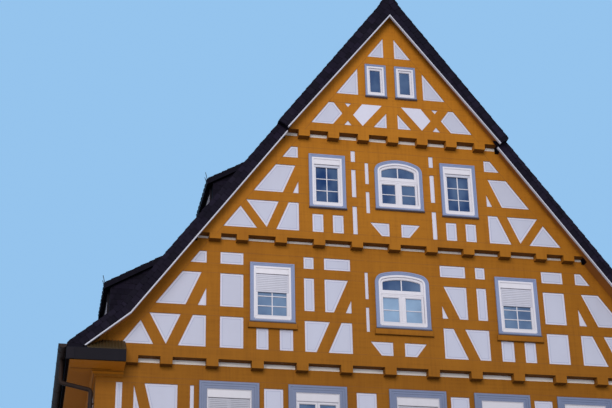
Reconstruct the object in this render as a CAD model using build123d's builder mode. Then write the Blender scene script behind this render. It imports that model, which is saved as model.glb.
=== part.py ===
"""Half timbered town house: three gable tiers stepping forward over three full storeys.

Millimetres. X runs along the front, Y runs back and Z is up from the ground. The origin is the
middle of the plan at ground level. Distances back are counted from the front wall, and the
helpers that place a sketch or a block take the origin into account.
"""
from build123d import *
import math
import os

os.makedirs("parts", exist_ok=True)

# overall sizes
HALF_WIDTH = 6000          # front wall, from the axis to a corner
SPREAD = HALF_WIDTH / 6000 # distances along the front are set out for 6 m and follow it
DEPTH = 11000              # front face to back face of the walls
GROUND_HEIGHT = 4000       # masonry ground floor
STOREY = 3400              # each timber storey
WALL_TOP = GROUND_HEIGHT + 2 * STOREY
MASONRY = 400              # thickness of the ground floor walls
FRAME = 180                # thickness of the timber frame
RECESS = 14                # plaster lies this far behind the timber faces
JETTY = 170                # each gable tier steps forward by this much
TIER_RISE = [2653, 2422]   # floor to floor of the gable tiers
TIER_Z = [WALL_TOP, WALL_TOP + TIER_RISE[0], WALL_TOP + sum(TIER_RISE)]
TIER_Y = [-JETTY, -2 * JETTY, -3 * JETTY]

# roof section, from the outer slate surface
PITCH = 1.365 / SPREAD     # rise over run of the main slope
BELL = 0.85 / SPREAD       # rise over run of the flatter foot
APEX = WALL_TOP + 8675
KINK_X = 5600 * SPREAD     # the foot starts here
EAVE_X = HALF_WIDTH + 580  # outer edge of the slates
ROOF_THICK = 180           # rafters, boards and slates, square to the slope
VERGE_Y = [TIER_Y[1] - 220, TIER_Y[2] - 220]  # front edge of the lower and the upper roof
FASCIA = 240               # depth of the slate clad verge board
BACK_VERGE = DEPTH + 260

# timbers
JOIST_H = [150, 120, 140]
JOIST_W = 235
JOIST_ROW = [(-191, 895, 5448), (-26, 795, 3880), (0, 645, 2040)]  # first centre, gap, outer end
WALL_PLATE = 65            # rises between the joists of a jetty
RAFTER = [405, 505, 540]   # upright depth of the timber that follows the roof, tier by tier
DECK = 30
STRIP = 100                # thickness of the plaster between two joists
JAMB = 250                 # post beside a window
PLATE = 350                # band of two beams over the windows of a storey
BEAM = 230
BRACE = 214

# windows and door
WIN_X = [x * SPREAD for x in (-3416, -1660, 377, 2140, 3900)]
BACK_WIN_X = [x * SPREAD for x in (-3400, 0, 3400)]
SIDE_WIN_Y = [3000, 8000]
WIN_W = 876
WIN_H = 1850
WIN_TOP = 405              # below the top of its storey
SIDE_WIN_H = 1600
SIDE_WIN_TOP = 720         # the side windows sit lower, clear of the boxed eaves
GROUND_WIN_H = 1800
GROUND_SILL = 1150
CASING = 150               # width of a storey window's casing
BOARD = 34                 # thickness of casings
TIER_CASING = [90, 84, 58]
DORMER_CASING = 90
SHOULDER = 120             # rounding of the arched windows
TRANSOM = (335, 480)       # from the head of an arched window down to its transom
SASH = 58                  # width of the frame round a pane
SHUTTER = 400              # drop of the storey shutters
TIER_SHUTTER = [537, 214, 0]
DOOR_W, DOOR_H = 1300, 2500
DOOR_X = WIN_X[2]
DOOR_FRAME = 50
DOOR_CASING = 140

# dormers: (outer slate height at the eave tip, tip distance, starts along the roof)
DORMER_PITCH = 0.58 / SPREAD
DORMER_W = 1700
DORMER_ROOF = 110
DORMER_WALL = 120
DORMER_EAVE = 135          # the roof tip stands this far before the window wall
DORMER_POST = 280          # from a dormer's side to its window
DORMER_Y = (1000, 8300)
DORMERS = [(WALL_TOP + 2066, 5878 * SPREAD, DORMER_Y), (WALL_TOP + 4622, 3787 * SPREAD, DORMER_Y)]

# eaves and rain goods
STEP_Z = WALL_TOP + 5260   # the upper roof starts to reach forward here
SOFFIT = 25
SOFFIT_Z = WALL_TOP + 450  # the front verge soffit starts above the cornice return
BACK_SOFFIT_Z = WALL_TOP + 640  # the back one above the boxed eaves
VERGE_BOARD = 35
VERGE_TRIM = 24
EAVE_BACK = BACK_VERGE - 20
CORNICE = 520              # reach of the boxed eaves along a side
CORNICE_LOW = 258          # foot of their moulding below the wall top
CORNICE_BED = 100          # height of the moulding
CORNICE_HIGH = 120         # top of their flat soffit below the wall top
RETURN_X = 5475 * SPREAD   # the cornice returns on the front as far as this
RETURN = 600               # reach of the return before the front wall
PENT = [(JETTY, 420), (RETURN + 40, 85), (RETURN + 40, -145), (RETURN, -145)]  # its small roof
GUTTER_R = 85
GUTTER_X = EAVE_X + GUTTER_R
GUTTER_DROP = 45           # gutter rim below the slates
PIPE_R = 42
PIPE_Y = 90
NECK = (385, 510)          # the swan neck starts and ends this far below the wall top
PIPE_CLIPS = (900, 2700, 4500, 6300, 8100, 9700)
FAR = 2 * HALF_WIDTH       # beyond every part of the house


def slate(x):
    """Height of the outer slate surface at a distance from the axis."""
    a = abs(x)
    return APEX - PITCH * a if a <= KINK_X else APEX - PITCH * KINK_X - BELL * (a - KINK_X)


def drop(depth, slope):
    """Upright depth of a layer measured square to a slope."""
    return depth * math.sqrt(1 + slope * slope)


def band(top, low, x0=0.0, x1=EAVE_X):
    """Section of a roof layer on the right slope between two depths under the slates."""
    def line(depth, a):
        m = APEX - drop(depth, PITCH) - PITCH * a
        f = APEX - PITCH * KINK_X + BELL * KINK_X - drop(depth, BELL) - BELL * a
        return max(m, f) if a > KINK_X - 600 else m

    def kink(depth):
        m = APEX - drop(depth, PITCH)
        f = APEX - PITCH * KINK_X + BELL * KINK_X - drop(depth, BELL)
        return (m - f) / (PITCH - BELL)

    def path(depth):
        pts = [(x0, line(depth, x0))]
        if x0 < kink(depth) < x1:
            pts.append((kink(depth), line(depth, kink(depth))))
        return pts + [(x1, line(depth, x1))]

    return path(top) + path(low)[::-1]


def under(x, depth=ROOF_THICK):
    """Height of the roof's underside at a distance from the axis."""
    a = abs(x)
    m = APEX - drop(depth, PITCH) - PITCH * a
    f = APEX - PITCH * KINK_X + BELL * KINK_X - drop(depth, BELL) - BELL * a
    return max(m, f) if a > KINK_X - 600 else m


UNDER_KINK = (APEX - drop(ROOF_THICK, PITCH) - (APEX - PITCH * KINK_X + BELL * KINK_X
              - drop(ROOF_THICK, BELL))) / (PITCH - BELL)


def face(y):
    """Sketch plane seen from the front at a distance back from the front wall."""
    return Plane(origin=(0, y - DEPTH / 2, 0), x_dir=(1, 0, 0), z_dir=(0, -1, 0))


def side(x):
    """Sketch plane along a side, local x runs back from the front wall."""
    return Plane(origin=(x, -DEPTH / 2, 0), x_dir=(0, 1, 0), z_dir=(1, 0, 0))


def rect(x0, z0, x1, z1, mode=Mode.ADD):
    """Upright rectangle between two corners."""
    with Locations(((x0 + x1) / 2, (z0 + z1) / 2)):
        return Rectangle(abs(x1 - x0), abs(z1 - z0), mode=mode)


def beam(x0, z0, x1, z1):
    """Straight timber between two corners, kept apart until its wall joins all timbers."""
    return rect(x0, z0, x1, z1, Mode.PRIVATE)


def poly(pts, mode=Mode.ADD):
    """Closed outline through the points."""
    Polygon(*pts, align=None, mode=mode)


def brace(x0, z0, x1, z1, width):
    """Slanting timber with level ends, its width measured level, kept apart like a beam."""
    w = width / 2
    pts = [(x0 - w, z0), (x0 + w, z0), (x1 + w, z1), (x1 - w, z1)]
    return Polygon(*pts, align=None, mode=Mode.PRIVATE)


def arch(cx, z0, width, height, rise, corner):
    """Opening with upright sides, rounded shoulders and a flat arched head."""
    h = width / 2
    spring = z0 + height - rise
    with BuildLine() as outline:
        Polyline((cx + h, spring), (cx + h, z0), (cx - h, z0), (cx - h, spring))
        ThreePointArc((cx - h, spring), (cx, z0 + height), (cx + h, spring))
    opening = make_face(outline.edges(), mode=Mode.PRIVATE).faces()[0]
    return opening.fillet_2d(corner, opening.vertices().sort_by(Axis.Y)[-2:])


def save(part, name):
    """Label a finished piece and write it."""
    part.part.label = name
    export_step(part.part, f"parts/{name}.step")
    print(name, len(part.part.solids()), "solids", round(part.part.volume / 1e9, 3), "m3")


def row(centres, level, top, height):
    """Windows of one storey: (centre, sill, width, height, arch rise)."""
    return [(c, level - top - height, WIN_W, height, 0) for c in centres]


def storeys(centres, top, height):
    """Windows of the two timber storeys of a wall."""
    return [w for n in (1, 2) for w in row(centres, GROUND_HEIGHT + n * STOREY, top, height)]


def ground(centres):
    """Windows of the ground floor of a wall."""
    return row(centres, GROUND_SILL + GROUND_WIN_H, 0, GROUND_WIN_H)


FRONT_WINDOWS = storeys(WIN_X, WIN_TOP, WIN_H)
FRONT_GROUND = ground([x for x in WIN_X if x != DOOR_X])
BACK_WINDOWS = storeys(BACK_WIN_X, WIN_TOP, WIN_H)
BACK_GROUND = ground(BACK_WIN_X)
SIDE_WINDOWS = storeys(SIDE_WIN_Y, SIDE_WIN_TOP, SIDE_WIN_H)
SIDE_GROUND = ground(SIDE_WIN_Y)


def spread(n, *wins):
    """Windows of a gable tier, their centres and widths following the front, sills over its floor."""
    return [(x * SPREAD, TIER_Z[n] + z, width * SPREAD, height, rise) for x, z, width, height, rise in wins]


TIER_WINDOWS = [spread(0, (-2577, 1060, 730, 1095, 0), (2577, 1060, 730, 1095, 0), (120, 1062, 960, 1075, 80)),
                spread(1, (-1425, 923, 610, 1075, 0), (1425, 923, 610, 1075, 0), (115, 985, 870, 1000, 120)),
                spread(2, (-330, 1135, 350, 683, 0), (330, 1135, 350, 683, 0))]
BACK_TIER_WINDOWS = [spread(0, (-1500, 1060, 730, 1095, 0), (1500, 1060, 730, 1095, 0)),
                     spread(1, (0, 923, 730, 1075, 0)), spread(2, (0, 1000, 640, 850, 0))]
# narrow upright panels left of the arched windows: (from, lower end, to, upper end)
STRIPS = [[(-655, 883, -588, 1408), (-655, 1588, -588, 2177)],
          [(-603, 797, -526, 1291), (-603, 1474, -526, 1972)], []]


def hole(w, grow=0.0):
    """Outline of a window grown by a margin on all sides, kept apart until it is used."""
    x, z, width, height, rise = w
    if rise:
        return arch(x, z - grow, width + 2 * grow, height + 2 * grow, rise + grow * 0.4, SHOULDER + grow)
    return beam(x - width / 2 - grow, z - grow, x + width / 2 + grow, z + height + grow)


def holes(wins, grow=0.0, mode=Mode.ADD):
    """Outlines of all windows of a wall in one step."""
    add([hole(w, grow) for w in wins], mode=mode)


# ground floor: masonry walls from the ground up
with BuildPart() as front_wall_ground:
    with BuildSketch(face(0)):
        rect(-HALF_WIDTH, 0, HALF_WIDTH, GROUND_HEIGHT)
        holes(FRONT_GROUND, mode=Mode.SUBTRACT)
        rect(DOOR_X - DOOR_W / 2, 0, DOOR_X + DOOR_W / 2, DOOR_H, Mode.SUBTRACT)
    extrude(amount=-MASONRY)
save(front_wall_ground, "front_wall_ground")

with BuildPart() as back_wall_ground:
    with BuildSketch(face(DEPTH)):
        rect(-HALF_WIDTH, 0, HALF_WIDTH, GROUND_HEIGHT)
        holes(BACK_GROUND, mode=Mode.SUBTRACT)
    extrude(amount=MASONRY)
save(back_wall_ground, "back_wall_ground")


def side_wall(x, amount):
    """Ground floor side wall between the front and the back wall."""
    with BuildPart() as wall:
        with BuildSketch(side(x)):
            rect(MASONRY, 0, DEPTH - MASONRY, GROUND_HEIGHT)
            holes(SIDE_GROUND, mode=Mode.SUBTRACT)
        extrude(amount=amount)
    return wall


save(side_wall(-HALF_WIDTH, MASONRY), "left_wall_ground")
save(side_wall(HALF_WIDTH, -MASONRY), "right_wall_ground")


# timber storeys over the ground floor
def storey_timbers(ends, wins, posts, braces, sill_rail):
    """Timbers of the two full storeys: plates, posts, window jambs, sills and corner braces."""
    x0, x1 = ends
    timbers = []
    for n in (0, 1):
        z0 = GROUND_HEIGHT + n * STOREY
        z1 = z0 + STOREY
        storey_wins = [w for w in wins if z0 < w[1] < z1]
        sill = storey_wins[0][1]
        timbers += [beam(x0, z0, x1, z0 + BEAM), beam(x0, z1 - PLATE, x1, z1)]
        timbers += [beam(near, z0, far, z1) for near, far in posts]
        timbers += [brace(foot, z0 + BEAM, head, z1 - PLATE, BRACE) for head, foot in braces]
        for w in storey_wins:
            near, far = w[0] - w[2] / 2, w[0] + w[2] / 2
            timbers += [beam(near - JAMB, z0, near, z1), beam(far, z0, far + JAMB, z1),
                        beam(near, sill - BEAM, far, sill),
                        beam(near, w[1] + w[3], far, z1)]
        if sill_rail:
            timbers.append(beam(x0, sill - BEAM, x1, sill - 20))
    return timbers


def along(*pairs):
    """Pairs of distances from the axis that follow the front."""
    return [(near * SPREAD, far * SPREAD) for near, far in pairs]


FRONT_POSTS = along((-6000, -5608), (-5485, -5265), (-4422, -4179), (-990, -872), (-465, -300),
                    (5265, 5485), (5608, 6000))
FRONT_BRACES = along((-5168, -4459), (5168, 5020))
BACK_POSTS = along((-6000, -5635), (5635, 6000))
BACK_BRACES = along((-5400, -4600), (5400, 4600))
SIDE_POSTS = [(FRAME, FRAME + JAMB), (DEPTH - FRAME - JAMB, DEPTH - FRAME)]
SIDE_BRACES = [(FRAME + 350, 1300), (DEPTH - FRAME - 350, DEPTH - 1300)]


def storey_wall(plane, ends, wins, posts, braces, sill_rail, inward):
    """Frame and plaster panels of the two full storeys on one side."""
    with BuildPart() as frame:
        with BuildSketch(plane) as timbers:
            add(storey_timbers(ends, wins, posts, braces, sill_rail))
            holes(wins, mode=Mode.SUBTRACT)
        extrude(amount=inward * FRAME)
    with BuildPart() as infill:
        with BuildSketch(plane.offset(inward * RECESS)):
            rect(ends[0], GROUND_HEIGHT, ends[1], WALL_TOP)
            holes(wins, mode=Mode.SUBTRACT)
            add(timbers.sketch_local, mode=Mode.SUBTRACT)
        extrude(amount=inward * (FRAME - 2 * RECESS))
    return frame, infill


WIDE = (-HALF_WIDTH, HALF_WIDTH)
LONG = (FRAME, DEPTH - FRAME)
front = storey_wall(face(0), WIDE, FRONT_WINDOWS, FRONT_POSTS, FRONT_BRACES, True, -1)
back = storey_wall(face(DEPTH), WIDE, BACK_WINDOWS, BACK_POSTS, BACK_BRACES, False, 1)
left = storey_wall(side(-HALF_WIDTH), LONG, SIDE_WINDOWS, SIDE_POSTS, SIDE_BRACES, False, 1)
right = storey_wall(side(HALF_WIDTH), LONG, SIDE_WINDOWS, SIDE_POSTS, SIDE_BRACES, False, -1)
save(front[0], "front_frame")
save(front[1], "front_infill")
save(back[0], "back_frame")
save(left[0], "left_frame")
save(right[0], "right_frame")
with BuildPart() as side_infill:
    add([left[1].part, right[1].part])
save(side_infill, "side_infill")


# gable tiers
def reach(z, depth=ROOF_THICK):
    """Half width where a roof layer stands at a height."""
    a = (APEX - drop(depth, PITCH) - z) / PITCH
    if a > UNDER_KINK:
        a = (APEX - PITCH * KINK_X + BELL * KINK_X - drop(depth, BELL) - z) / BELL
    return a


def tier_outline(n, z0):
    """Closed outline of a gable tier under the roof."""
    a0 = min(reach(z0), HALF_WIDTH - FRAME)
    pts = [(-a0, z0), (a0, z0)]
    if a0 > UNDER_KINK:
        pts += [(a0, under(a0)), (UNDER_KINK, under(UNDER_KINK))]
        pts = [(-UNDER_KINK, under(UNDER_KINK)), (-a0, under(a0))] + pts
    if n == 2:
        return pts + [(0, under(0))]
    z1 = TIER_Z[n + 1]
    return pts + [(reach(z1), z1), (-reach(z1), z1)]


def panel_field(n, z0):
    """Outline inside the sloping timbers of a tier, where posts and panels stand."""
    peak = under(0) - RAFTER[n]
    a0 = (peak - z0) / PITCH
    if n == 2:
        return [(-a0, z0), (a0, z0), (0, peak)]
    z1 = TIER_Z[n + 1]
    a1 = (peak - z1) / PITCH
    return [(-a0, z0), (a0, z0), (a1, z1), (-a1, z1)]


def posts_of(pairs, z0, z1):
    """Posts on both sides of the axis between two heights."""
    return [beam(s * near, z0, s * far, z1) for s in (-1, 1) for near, far in along(*pairs)]


def braces_of(width, z0, z1, *pairs):
    """Braces on both sides of the axis, each from its foot to its head."""
    return [brace(s * foot, z0, s * head, z1, width * SPREAD) for s in (-1, 1)
            for foot, head in along(*pairs)]


def rails(n, *levels):
    """Level timbers across a whole tier between pairs of heights over its floor."""
    wide = reach(TIER_Z[n]) + 50
    return [beam(-wide, TIER_Z[n] + z0, wide, TIER_Z[n] + z1) for z0, z1 in levels]


def lower_tier(n):
    """Timbers of the first gable tier: rails, posts, braces and boarding round the windows."""
    b = TIER_Z[n]
    sill, breast, low, rail, high, head = b + 390, b + 680, b + 834, b + 1049, b + 1973, b + 2439
    return (rails(n, (JOIST_H[n], 390), (1049, 1255), (1973, 2177), (2439, TIER_RISE[n]))
            + posts_of([(3632, 3910), (2904, 3165), (1925, 2165), (655, 954)], sill, head)
            + posts_of([(1500, 1717)], rail, head)
            + posts_of([(2436, 2662)], sill, low)
            + posts_of([(2150, 2920)], low, head)
            + braces_of(250, sill, rail + 20, (4805, 5160))
            + braces_of(242, sill, high, (4576, 3887), (1577, 888))
            + braces_of(230, sill, breast, (479, 698))
            + posts_of([(560, 700)], sill, sill + 85)
            + posts_of([(0, 121)], sill, breast)
            + posts_of([(0, 700)], breast, low)
            + posts_of([(0, 760)], low, head))


def middle_tier(n):
    """Timbers of the second gable tier, laid out like the first."""
    b = TIER_Z[n]
    sill, breast, low, rail, high, head = b + 289, b + 588, b + 699, b + 929, b + 1790, b + 2235
    return (rails(n, (JOIST_H[n], 289), (929, 1140), (1790, 1972), (2235, TIER_RISE[n]))
            + posts_of([(1755, 2037), (900, 1100), (603, 806)], sill, head)
            + posts_of([(1327, 1526)], sill, low)
            + posts_of([(1093, 1765)], low, head)
            + braces_of(220, sill, rail + 20, (2796, 3261))
            + braces_of(210, sill, high, (2621, 1990))
            + braces_of(240, sill, breast, (415, 654))
            + posts_of([(500, 650)], sill, sill + 90)
            + posts_of([(0, 127)], sill, breast)
            + posts_of([(0, 620)], breast, head))


def upper_tier(n):
    """Timbers of the third gable tier, two small windows beside the middle post."""
    b = TIER_Z[n]
    sill, low, mid, high = b + 335, b + 874, b + 1100, b + 1905
    return (rails(n, (JOIST_H[n], 335), (874, 1100), (1905, 2090))
            + posts_of([(490, 723)], mid, high)
            + posts_of([(137, 723)], mid, mid + 60)
            + posts_of([(137, 723)], high - 95, high)
            + posts_of([(664, 884)], sill, low)
            + braces_of(240, sill, low, (1180, 768), (768, 1150), (540, 95))
            + posts_of([(0, 122)], sill, APEX))


def back_tier(n):
    """Plainer timbers of a tier of the back gable: rails, posts beside the windows and braces."""
    b = TIER_Z[n]
    wins = BACK_TIER_WINDOWS[n]
    low, high = wins[0][1] - b, wins[0][1] + wins[0][3] - b
    head = (TIER_RISE + [2090])[n]
    out = wins[-1][0] + wins[-1][2] / 2
    timbers = rails(n, (0, BEAM), (low - BEAM, low), (high, high + BEAM), (head - BEAM, head))
    for x, z, width, height, rise in wins:
        timbers += [beam(x + s * width / 2, b + BEAM, x + s * (width / 2 + JAMB), b + high) for s in (-1, 1)]
    if n < 2:
        timbers += braces_of(240, b + BEAM, b + high, (out / SPREAD + 1500, out / SPREAD + 800))
    return timbers


def tier_section(n, z0, timbers_of, wins, strips):
    """Flat outlines of the timbers and of the plaster panels of a gable tier."""
    with BuildSketch() as rim:
        poly(tier_outline(n, z0))
        poly(panel_field(n, z0), Mode.SUBTRACT)
    with BuildSketch() as timbers:
        add(timbers_of(n))
        poly(panel_field(n, z0), Mode.INTERSECT)
        add(rim.sketch)
        holes(wins, mode=Mode.SUBTRACT)
        for near, low, far, high in strips:
            rect(near * SPREAD, TIER_Z[n] + low, far * SPREAD, TIER_Z[n] + high, Mode.SUBTRACT)
    with BuildSketch() as panels:
        poly(panel_field(n, z0))
        holes(wins, mode=Mode.SUBTRACT)
        add(timbers.sketch, mode=Mode.SUBTRACT)
    return timbers.sketch, panels.sketch


def tier_wall(n, z0, timbers_of, wins, strips, y, inward):
    """Frame and plaster panels of a gable tier at a distance back."""
    timbers, panels = tier_section(n, z0, timbers_of, wins, strips)
    with BuildPart() as frame:
        with BuildSketch(face(y)):
            add(timbers)
        extrude(amount=inward * FRAME)
    with BuildPart() as infill:
        with BuildSketch(face(y - inward * RECESS)):
            add(panels)
        extrude(amount=inward * (FRAME - 2 * RECESS))
    return frame, infill


gable = [tier_wall(n, TIER_Z[n] + JOIST_H[n], draw, TIER_WINDOWS[n], STRIPS[n], TIER_Y[n], -1)
         for n, draw in enumerate((lower_tier, middle_tier, upper_tier))]
back_gable = [tier_wall(n, TIER_Z[n], back_tier, BACK_TIER_WINDOWS[n], [], DEPTH, 1) for n in range(3)]
for n in range(3):
    save(gable[n][0], f"gable_frame_{n + 1}")
with BuildPart() as gable_infill:
    add([infill.part for frame, infill in gable])
save(gable_infill, "gable_infill")
with BuildPart() as back_gable_frame:
    add([frame.part for frame, infill in back_gable])
save(back_gable_frame, "back_gable_frame")
with BuildPart() as back_infill:
    add([back[1].part] + [infill.part for frame, infill in back_gable])
save(back_infill, "back_infill")


# floors and jetties
def block(x0, x1, y0, y1, z0, z1, mode=Mode.ADD):
    """Plain block between two corners, its distances back counted from the front wall."""
    with Locations(((x0 + x1) / 2, (y0 + y1 - DEPTH) / 2, (z0 + z1) / 2)):
        Box(abs(x1 - x0), abs(y1 - y0), abs(z1 - z0), mode=mode)


def joist_row(n):
    """Centres of the joists of a jetty, an even row with one closer joist at each end."""
    first, gap, end = [value * SPREAD for value in JOIST_ROW[n]]
    limit = end - JOIST_W / 2
    row = [first + gap * k for k in range(-9, 10) if abs(first + gap * k) < limit - JOIST_W * 1.3]
    return sorted(row + [-limit, limit])


def joist_faces(n):
    """Ends of the joists of a jetty."""
    with Locations([(x, TIER_Z[n] + JOIST_H[n] / 2) for x in joist_row(n)]):
        return Rectangle(JOIST_W, JOIST_H[n], mode=Mode.PRIVATE)


def jetty_ends(n):
    """Half length of the wall under a jetty."""
    return HALF_WIDTH - FRAME if n == 0 else reach(TIER_Z[n] + JOIST_H[n])


for n in range(3):
    with BuildPart() as joists:
        with BuildSketch(face(TIER_Y[n])):
            add(joist_faces(n))
        extrude(amount=TIER_Y[n] - (DEPTH - FRAME))
        with BuildSketch(face(TIER_Y[n] + JETTY)):
            rect(-jetty_ends(n), TIER_Z[n], jetty_ends(n), TIER_Z[n] + WALL_PLATE)
        extrude(amount=-FRAME)
    save(joists, f"joists_{n + 1}")

with BuildPart() as jetty_infill:
    strips = []
    for n in range(3):
        with BuildSketch(face(TIER_Y[n] + JETTY + RECESS)):
            rect(-jetty_ends(n), TIER_Z[n] + WALL_PLATE, jetty_ends(n), TIER_Z[n] + JOIST_H[n])
            add(joist_faces(n), mode=Mode.SUBTRACT)
        strips.append(extrude(amount=-STRIP, mode=Mode.PRIVATE))
    add(strips)
save(jetty_infill, "jetty_infill")

with BuildPart() as ground_floor:
    block(-HALF_WIDTH + MASONRY, HALF_WIDTH - MASONRY, MASONRY, DEPTH - MASONRY, 0, 200)
save(ground_floor, "ground_floor")
for level, name in ((1, "first_floor"), (2, "second_floor")):
    z = GROUND_HEIGHT + (level - 1) * STOREY
    with BuildPart() as floor:
        block(-HALF_WIDTH + FRAME, HALF_WIDTH - FRAME, FRAME, DEPTH - FRAME, z, z + BEAM)
    save(floor, name)
for n in range(3):
    z = TIER_Z[n] + JOIST_H[n]
    wide = HALF_WIDTH - FRAME if n == 0 else reach(z + DECK)
    with BuildPart() as floor:
        block(-wide, wide, TIER_Y[n] + FRAME, DEPTH - FRAME, z, z + DECK)
    save(floor, f"attic_floor_{n + 1}")


# dormers
def dormer_line(d, a, depth=0.0):
    """Height of a dormer's roof layer at a distance from the axis."""
    return d[0] + DORMER_PITCH * (d[1] - a) - drop(depth, DORMER_PITCH)


def dormer_meet(d, depth=0.0):
    """Distance from the axis where a dormer's roof layer runs into the main slates."""
    return (APEX - d[0] - DORMER_PITCH * d[1] + drop(depth, DORMER_PITCH)) / (PITCH - DORMER_PITCH)


def dormer_window(d):
    """Sill and head of a dormer window."""
    front_a = d[1] - DORMER_EAVE
    return slate(front_a) + 200, dormer_line(d, front_a, DORMER_ROOF) - 130


def flip(pts, s):
    """Outline on the right or, for a negative sign, on the left slope."""
    return [(s * x, z) for x, z in pts]


def dormer_walls(s, d):
    """Cheeks and window walls of a row of dormers."""
    front_a = d[1] - DORMER_EAVE
    inner = front_a - DORMER_WALL
    meet = dormer_meet(d, DORMER_ROOF)
    eave = (front_a, dormer_line(d, front_a, DORMER_ROOF))
    foot = [(KINK_X, slate(KINK_X))] if front_a > KINK_X else []
    foot.append((front_a, slate(front_a)))
    near_foot = foot if inner < KINK_X else foot[-1:]
    z0, z1 = dormer_window(d)
    with BuildPart() as walls:
        for y in d[2]:
            with BuildSketch(face(y)):
                poly(flip([eave, (meet, slate(meet))] + foot, s))
            extrude(amount=-DORMER_W)
        for y in d[2]:
            with BuildSketch(face(y + DORMER_WALL)):
                poly(flip([(inner, 0), (inner, APEX), (0, APEX), (0, 0)], s))
            extrude(amount=2 * DORMER_WALL - DORMER_W, mode=Mode.SUBTRACT)
            block(s * (inner - 50), s * (front_a + 50), y + DORMER_POST, y + DORMER_W - DORMER_POST,
                  z0, z1, Mode.SUBTRACT)
    return walls.part


def dormer_roof(s, d):
    """Slate roofs of a row of dormers."""
    m0, m1 = dormer_meet(d), dormer_meet(d, DORMER_ROOF)
    roofs = []
    with BuildPart():
        for y in d[2]:
            with BuildSketch(face(y - 90)):
                poly(flip([(d[1], dormer_line(d, d[1])), (m0, slate(m0)), (m1, slate(m1)),
                           (d[1], dormer_line(d, d[1], DORMER_ROOF))], s))
            roofs.append(extrude(amount=-(DORMER_W + 180), mode=Mode.PRIVATE))
    return roofs


with BuildPart() as all_dormer_walls:
    add([dormer_walls(s, d) for s in (-1, 1) for d in DORMERS])
save(all_dormer_walls, "dormer_walls")
with BuildPart() as all_dormer_roofs:
    add([piece for s in (-1, 1) for d in DORMERS for piece in dormer_roof(s, d)])
save(all_dormer_roofs, "dormer_roofs")


# main roof
def roof(s):
    """One slope with its flatter foot, the upper part reaching forward over the top tier."""
    with BuildPart() as slope:
        with BuildSketch(face(VERGE_Y[0])):
            poly(flip(band(0, ROOF_THICK), s))
        extrude(amount=-(BACK_VERGE - VERGE_Y[0]))
        with BuildSketch(face(VERGE_Y[1])):
            poly(flip(band(0, ROOF_THICK), s))
            rect(-FAR, STEP_Z, FAR, APEX + 100, Mode.INTERSECT)
        extrude(amount=-(VERGE_Y[0] - VERGE_Y[1]))
        for d in DORMERS:
            inner = d[1] - DORMER_EAVE - DORMER_WALL - 20
            for y in d[2]:
                block(s * inner, s * (dormer_meet(d, DORMER_ROOF) + 200), y + DORMER_WALL + 20,
                      y + DORMER_W - DORMER_WALL - 20, slate(inner) - 600, dormer_line(d, 0), Mode.SUBTRACT)
    return slope


save(roof(-1), "left_roof")
save(roof(1), "right_roof")

with BuildPart() as ridge:
    with BuildSketch(face(VERGE_Y[1] - 10)):
        lap = drop(14, PITCH)
        poly([(-190, APEX - 190 * PITCH), (0, APEX), (190, APEX - 190 * PITCH),
              (190, APEX - 190 * PITCH + lap), (0, APEX + lap), (-190, APEX - 190 * PITCH + lap)])
    extrude(amount=-(BACK_VERGE - VERGE_Y[1] + 20))
save(ridge, "ridge_cap")

# the verge: (front of its boards, lowest and highest point)
VERGES = [(VERGE_Y[1] - VERGE_BOARD, STEP_Z, APEX + 100), (VERGE_Y[0] - VERGE_BOARD, 0, STEP_Z),
          (BACK_VERGE, 0, APEX + 100)]


def verge(near, far):
    """Boards on the ends of both slopes between two depths under the slates."""
    boards = []
    for y, z0, z1 in VERGES:
        for s in (-1, 1):
            with BuildSketch(face(y)) as section:
                poly(flip(band(near, far), s))
                rect(-FAR, z0, FAR, z1, Mode.INTERSECT)
            boards.append(extrude(section.sketch, amount=-VERGE_BOARD, mode=Mode.PRIVATE))
    return boards


with BuildPart() as verge_boards:
    add(verge(0, FASCIA))
save(verge_boards, "verge_boards")
with BuildPart() as verge_trim:
    add(verge(FASCIA, FASCIA + VERGE_TRIM))
save(verge_trim, "verge_trim")

# verge soffit: (from, to, lowest and highest point)
SOFFITS = [(VERGE_Y[0], TIER_Y[0], SOFFIT_Z, TIER_Z[1]), (VERGE_Y[0], TIER_Y[1], TIER_Z[1], TIER_Z[2]),
           (VERGE_Y[1], TIER_Y[2], STEP_Z, APEX), (DEPTH, BACK_VERGE, BACK_SOFFIT_Z, APEX)]
with BuildPart() as verge_soffit:
    for y0, y1, z0, z1 in SOFFITS:
        for s in (-1, 1):
            with BuildSketch(face(y0)):
                poly(flip(band(ROOF_THICK, ROOF_THICK + SOFFIT), s))
                rect(-FAR, z0, FAR, z1, Mode.INTERSECT)
            extrude(amount=-(y1 - y0))
save(verge_soffit, "verge_soffit")


# boxed eaves
def moulding(x0, out):
    """Lower line of the cornice section, from the wall outward."""
    low, bed = WALL_TOP - CORNICE_LOW, WALL_TOP - CORNICE_LOW + CORNICE_BED
    return [(x0, low), (x0 + 35, low), (x0 + 45, low + 45), (x0 + 85, low + 75), (x0 + 85, bed),
            (x0 + out, bed), (x0 + out, WALL_TOP - CORNICE_HIGH)]


def cornice(s):
    """Moulded eave box along a side, returning on the gable."""
    high = WALL_TOP - CORNICE_HIGH
    tip, inner = HALF_WIDTH + CORNICE, HALF_WIDTH - FRAME
    with BuildPart() as box:
        with BuildSketch(face(0)):
            poly(flip(moulding(HALF_WIDTH, CORNICE)
                      + [(tip, under(tip)), (HALF_WIDTH, under(HALF_WIDTH)), (inner, under(inner)),
                         (inner, WALL_TOP), (HALF_WIDTH, WALL_TOP)], s))
        extrude(amount=-EAVE_BACK)
        with BuildSketch(side(s * RETURN_X)):
            poly([(-x, z) for x, z in moulding(0, RETURN)] + [(0, high)])
        extrude(amount=s * (tip - RETURN_X))
        with BuildSketch(face(-JETTY)):
            poly(flip([(inner + 5, high), (tip, high), (tip, under(tip)), (inner + 5, under(inner + 5))], s))
        extrude(amount=-JETTY)
    return box


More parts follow.
